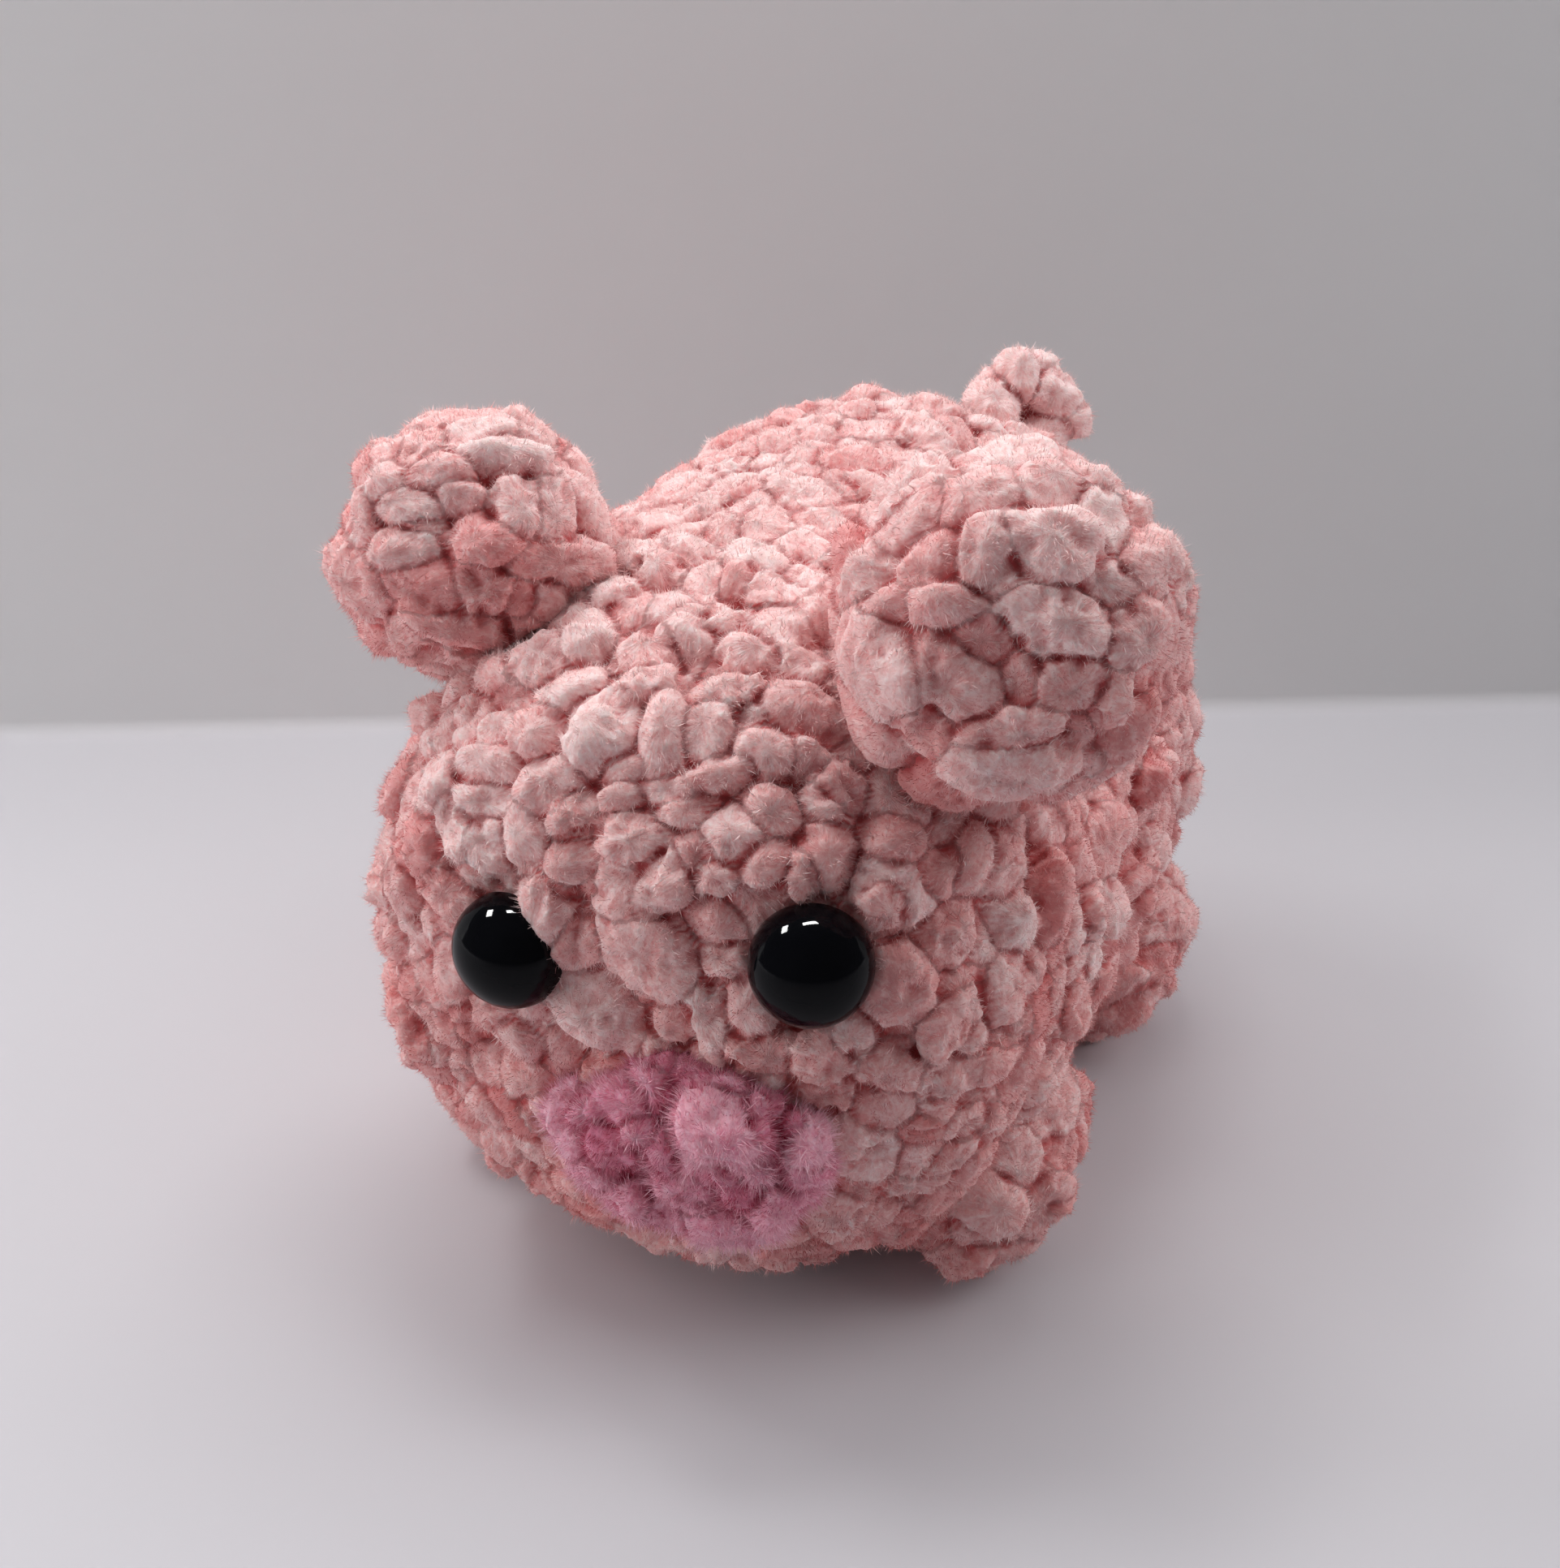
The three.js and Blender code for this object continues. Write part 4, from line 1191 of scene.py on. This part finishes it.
# The seventh number, where a row has one, paints light and shade on the stitch: deepest along the top edge,
# in the shadow where the snout tucks under the face
snoutStitches = [
    (884, 1400, 92, 72, 8, 2.4, 1.3), (930, 1398, 56, 66, 20, 0.6, -0.4), (794, 1304, 56, 52, 0, -1.4, -3.2),
    (790, 1334, 50, 40, 0, -0.4, -0.6), (852, 1312, 66, 48, 10, -1.6, -3.2),
    (898, 1330, 66, 42, 30, -1.2, -3.2), (762, 1366, 80, 50, -20, 0.2, 0), (784, 1388, 40, 34, 0, 0.6, 1.5),
    (744, 1420, 66, 72, 20, 0.4, -0.8), (812, 1420, 56, 64, -10, 0, -0.5), (872, 1440, 100, 46, 6, 0.6, 0.6),
    (842, 1476, 84, 46, 12, 0.3, 0.8), (906, 1476, 70, 50, -10, 0.1, -0.8), (690, 1404, 46, 84, 0, 0.4, 2.4),
    (712, 1462, 62, 62, 40, 0.5, 2.2), (762, 1486, 82, 46, 20, 0.6, 1.6), (822, 1508, 92, 40, 8, 0.4, 1.8),
    (892, 1520, 108, 44, 4, 0.6, 1.4), (962, 1494, 84, 50, -25, 0.4, 1.2), (994, 1452, 62, 50, -40, 0.3, 2.0),
    (1008, 1412, 50, 74, 0, 0.3, 2.2), (966, 1404, 40, 50, 0, -1.0, -2.2), (984, 1380, 40, 36, 0, -0.4, -2.0),
    (940, 1446, 70, 46, -24, 0.4, -0.4), (716, 1378, 48, 44, 0, 0.1, 1.0),
]


def makeSnout():
    rng = np.random.default_rng(17)
    at = onFace(bodyShape["snoutAside"], -bodyShape["snoutDrop"])
    roll = math.radians(bodyShape["faceRoll"])
    place = body.place @ frameAt(at, body.outward(at), (math.cos(roll), 0, math.sin(roll)))
    form = Oval(snoutShape["half"], snoutShape["power"], place)
    bed = Oval(snoutShape["bed"], snoutShape["power"], place)
    yarnPiece("snout_stitches", seenLobes(form, snoutStitches, rng), [ovalMesh(bed, 0)], ["snout"], rng,
              slot="snout_yarn", coat=snoutCoat, finishes=snoutFinishes)


makeSnout()


# Closing knot at the rear, where the last round is drawn up

knotShape = {"lobes": 5, "ring": 2.6, "half": (2.4, 2.7, 2.4), "sink": 0.6, "spread": 0.1}


def makeKnot():
    rng = np.random.default_rng(29)
    n, spread = knotShape["lobes"], knotShape["spread"]
    place = body.place @ frameAt((0, body.half[1] - knotShape["sink"], 0), (0, 1, 0))
    turn = (np.arange(n) + rng.uniform(-spread, spread, n)) * fullTurn / n
    centre = knotShape["ring"] * np.stack([np.sin(turn), 0 * turn, np.cos(turn)], 1)
    outer, end = unit(centre), np.tile([0.0, 1.0, 0.0], (n, 1))
    lobes = {
        "centre": moved(place, centre),
        "axes": np.stack([turned(place, way) for way in (np.cross(outer, end), outer, end)], 2),
        "half": np.array(knotShape["half"]) * rng.uniform(1 - spread, 1 + spread, (n, 3)),
        "tone": np.zeros(n),
    }
    yarnPiece("closing_knot_yarn", lobes, [], ["closing_knot"], rng)


makeKnot()


# Safety eyes: a dome on a ridged stem, turned about its own axis

def turnedMesh(outline, place, steps):  # a form turned from points of radius and level, both ends on its axis
    outline = np.array(outline, float)
    turn = np.arange(steps) * fullTurn / steps
    radius, level = outline[1:-1, :1], outline[1:-1, 1:]
    grid = np.stack([radius * np.sin(turn), level + 0 * turn, radius * np.cos(turn)], -1)
    ends = np.array([[0, outline[0, 1], 0], [0, outline[-1, 1], 0]])
    return moved(place, np.concatenate([grid.reshape(-1, 3), ends])), closedFaces(len(radius), steps)


def eyeOutline():
    names = ("radius", "stem", "stemLength", "taper", "ridge", "edge")
    radius, stem, long, taper, ridge, (edge, edgeIn) = (eyeSeat[k] for k in names)
    outline = [(0, -long), (stem - taper, -long), (stem, taper - long)]
    ridges = int((long - taper - eyeSeat["sink"]) / eyeSeat["pitch"]) - 1
    for i in range(1, ridges + 1):
        foot = -long + taper + i * eyeSeat["pitch"]
        outline += [(stem, foot), (stem + ridge, foot + ridge), (stem, foot + 2 * ridge)]
    outline += [(stem, 0), (radius - edge, 0), (radius - edgeIn, edgeIn), (radius, edge)]
    turn = np.linspace(0, quarterTurn, eyeSeat["domeSteps"])
    rise = eyeSeat["dome"] - eyeSeat["rim"]
    dome = zip(radius * np.cos(turn), eyeSeat["rim"] + rise * np.sin(turn))
    return outline + list(dome)[:-1] + [(0, eyeSeat["dome"])]


def plasticFinish(name, colour, roughness, grain, gloss):
    made = Finish(name, {"Specular IOR Level": gloss})
    place = made.objectPlace()
    mottle, scuff = made.noise(place, 260, 3), made.noise(place, 2400, 2)
    made.feed(
        BaseColor=made.mix(mottle, colour, tuple(c * 1.5 + 0.002 for c in colour)),
        Roughness=mottle * grain + roughness,
        Normal=made.bump(scuff, 0.00001, 0.15),
    )
    return made.material


def makeEyes():
    black = plasticFinish("blackDome", (0.0015, 0.0016, 0.0025), roughness=0.03, grain=0.04, gloss=0.09)
    white = plasticFinish("whiteWasher", (0.78, 0.77, 0.74), roughness=0.4, grain=0.2, gloss=0.5)
    for side, way in (("left", 1), ("right", -1)):
        point, out = eyeSpot(way)
        place = frameAt(point - out * eyeSeat["sink"], out)
        points, faces = turnedMesh(eyeOutline(), place, eyeSeat["girthSteps"])
        piece = pieceFrom("safety_eye_" + side, points, faces)
        piece.data.shade_smooth()
        piece.data.materials.append(black)
        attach(piece, "pig_body")
        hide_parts("eye_" + side)
        washer = frame["nodes"]["eye_washer_" + side]
        for slot in washer.material_slots:
            slot.material = white


makeEyes()
print("eyes set")


# Filling: wads of fibre inside the body and the ears

def fibreFinish():
    made = Finish("fibrefill", {"Roughness": 1.0, "Sheen Weight": 0.4})
    place = made.objectPlace()
    strand, clump = made.noise(place, 1600, 4, 0.7), made.noise(place, 150, 3)
    made.feed(
        BaseColor=made.mix((strand * 0.7 + clump * 0.6 - 0.2).held(), (0.62, 0.58, 0.53), (0.88, 0.86, 0.82)),
        Normal=made.bump(strand, 0.0006, 0.9),
    )
    return made.material


fillingShape = {
    "bodyGap": 7.0,
    "earGap": 8.5,
    "steps": (96, 64),
    "wad": (5.0, 2.2),  # sizes of its swells
    "swell": 0.5,
    "stemRoom": 3.5,
    "washerRoom": 1.5,
    "gap": 0.4,
    "deepest": -20,
}


def clearOfLocks(points):  # moves filling back from the eyes' stems and washers
    underStem = -eyeSeat["stemLength"] - fillingShape["gap"]
    underWasher = eyeSeat["washerBottom"] - fillingShape["gap"]
    for side in (1, -1):
        at, out = eyeSpot(side)
        apart = points - (at - out * eyeSeat["sink"])
        level = apart @ out
        radius = np.linalg.norm(apart - level[:, None] * out, axis=1)
        limit = np.where(radius < fillingShape["stemRoom"], underStem, underWasher)
        limit = np.where(radius < eyeSeat["washer"] + fillingShape["washerRoom"], limit, np.inf)
        near = level > fillingShape["deepest"]
        points = points + out * (np.minimum(limit - level, 0) * near)[:, None]
    return points


def makeFilling():
    wool = fibreFinish()
    wads = [("body_filling", body, fillingShape["bodyGap"], "body_stuffing", "pig_body")]
    for side in earShapes:
        form, gap = earForm(side, 0)[0], fillingShape["earGap"]
        wads.append(("ear_filling_" + side, form, gap, "ear_stuffing_" + side, side + "_ear"))
    coarse, fine = fillingShape["wad"]
    for name, form, gap, replaced, carrier in wads:
        points, faces = ovalMesh(form, -gap, *fillingShape["steps"])
        swell = latticeNoise(points / coarse, 5) + 0.5 * latticeNoise(points / fine, 6)
        points = points + form.wayOut(points) * fillingShape["swell"] * swell[:, None]
        if carrier == "pig_body":
            points = clearOfLocks(points)
        piece = pieceFrom(name, points, faces)
        piece.data.shade_smooth()
        piece.data.materials.append(wool)
        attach(piece, carrier)
        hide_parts(replaced)


makeFilling()
print("filling in")


# Stage: a pale floor, a grey backdrop close behind, and soft lamps

stageSet = {
    "floor": linear(207, 205, 210),
    "wall": linear(216, 216, 217),
    "wallLine": ((-165.18, 39.23), (71.62, 149.39)),  # where the backdrop meets the floor
    "wallHeight": 170,
    "cove": 2.5,  # the radius at which the sheet rises from the table
    "coveSteps": 9,
    "forward": 2200,
    "aside": 1600,
    "sink": 0.05,
    "world": 0.10,
    "worldColour": (0.95, 0.95, 1.0, 1),
}
lampTarget = (0, 0, 0.04)
# Each lamp: its place in metres ahead of the pig as the camera looks, to the right and up, its size, its
# power, and what it does: a fill lights surfaces, a glint only shows in glossy ones
lampSet = {
    "overheadKey": {
        "ahead": 0.03, "right": 0.0, "up": 0.38, "size": (0.11, 0.06), "power": 0.17, "role": "fill",
    },
    "overheadGlint": {
        "ahead": 0.05, "right": -0.01, "up": 0.38, "size": (0.13, 0.04), "power": 2.6, "role": "glint",
    },
    "leftStrip": {
        "ahead": 0.08, "right": -0.20, "up": 0.36, "size": (0.12, 0.05), "power": 0.3, "role": "fill",
    },
    "leftGlint": {
        "ahead": 0.06, "right": -0.24, "up": 0.34, "size": (0.10, 0.06), "power": 2.0, "role": "glint",
    },
    "ceiling": {
        "ahead": 0.1, "right": 0.0, "up": 0.7, "size": (1.4, 1.0), "power": 0.85, "role": "fill",
    },
    "backHigh": {
        "ahead": 0.3, "right": 0.0, "up": 0.5, "size": (0.6, 0.3), "power": 1.5, "role": "fill",
    },
    "rightHigh": {
        "ahead": 0.0, "right": 0.5, "up": 0.5, "size": (0.5, 0.5), "power": 1.2, "role": "fill",
    },
    "leftHigh": {
        "ahead": 0.0, "right": -0.5, "up": 0.5, "size": (0.5, 0.5), "power": 0.9, "role": "fill",
    },
    "leftPanel": {
        "ahead": -0.1, "right": -0.5, "up": 0.12, "size": (0.4, 0.3), "power": 1.0, "role": "fill",
    },
    "rightPanel": {
        "ahead": 0.1, "right": 0.55, "up": 0.2, "size": (0.4, 0.4), "power": 0.95, "role": "fill",
    },
}


def makeStage():
    # One paper sheet that lies in front, rises in a cove and stands behind. Its colour changes as it rises
    a, b = (np.array(p) for p in stageSet["wallLine"])
    along = unit(b - a)
    nearer = np.array([along[1], -along[0]])
    turn, radius = np.linspace(0, quarterTurn, stageSet["coveSteps"]), stageSet["cove"]
    ahead = np.concatenate([[stageSet["forward"]], radius * (1 - np.sin(turn)), [0]])
    height = np.concatenate([[0], radius * (1 - np.cos(turn)), [stageSet["wallHeight"]]]) - stageSet["sink"]
    points = np.concatenate([
        np.column_stack([(a + b) / 2 + along * way + ahead[:, None] * nearer, height])
        for way in (-stageSet["aside"], stageSet["aside"])
    ])
    row = np.arange(len(ahead) - 1)
    faces = np.stack([row, row + len(ahead), row + len(ahead) + 1, row + 1], 1)
    piece = pieceFrom("paper_sweep", points, faces)
    piece.data.shade_smooth()
    made = Finish("sweepPaper", {"Roughness": 0.8, "Specular IOR Level": 0.2})
    place = made.objectPlace()
    risen = made.node("ShaderNodeSeparateXYZ", {}, {"Vector": place}).out("Z") * (1 / (radius * mm))
    share = (risen + made.noise(place, 6, 2) * 0.03).held()
    made.feed(BaseColor=made.mix(share, stageSet["floor"], stageSet["wall"]))
    # Seen from behind, the sheet lets the camera look through
    behind = made.node("ShaderNodeNewGeometry").out("Backfacing")
    behind = behind * made.node("ShaderNodeLightPath").out("Is Camera Ray")
    clear = made.node("ShaderNodeBsdfTransparent")
    made.plug(made.surface, made.node("ShaderNodeMixShader", {}, {0: behind, 1: made.shader, 2: clear}))
    piece.data.materials.append(made.material)


def makeLight():
    azimuth = math.radians(cameraView["azimuth"])
    ahead = np.array([-math.sin(azimuth), math.cos(azimuth), 0])
    side = np.array([math.cos(azimuth), math.sin(azimuth), 0])
    for name, lamp in lampSet.items():
        light = bpy.data.lights.new(name, "AREA")
        light.shape, light.energy = "RECTANGLE", lamp["power"]
        light.size, light.size_y = lamp["size"]
        place = ahead * lamp["ahead"] + side * lamp["right"] + (0, 0, lamp["up"])
        back = unit(place - lampTarget)
        right = unit(np.cross((0, 0, 1), back))
        piece = linked(name, light, placeOf(np.stack([right, np.cross(back, right), back], 1), place))
        piece.visible_glossy, piece.visible_diffuse = lamp["role"] == "glint", lamp["role"] == "fill"
    world = bpy.data.worlds.new("studio")
    world.use_nodes = True
    background = world.node_tree.nodes["Background"].inputs
    background["Color"].default_value = stageSet["worldColour"]
    background["Strength"].default_value = stageSet["world"]
    bpy.context.scene.world = world
    bpy.context.scene.view_settings.view_transform = "Standard"


makeStage()
makeLight()
print("stage set")
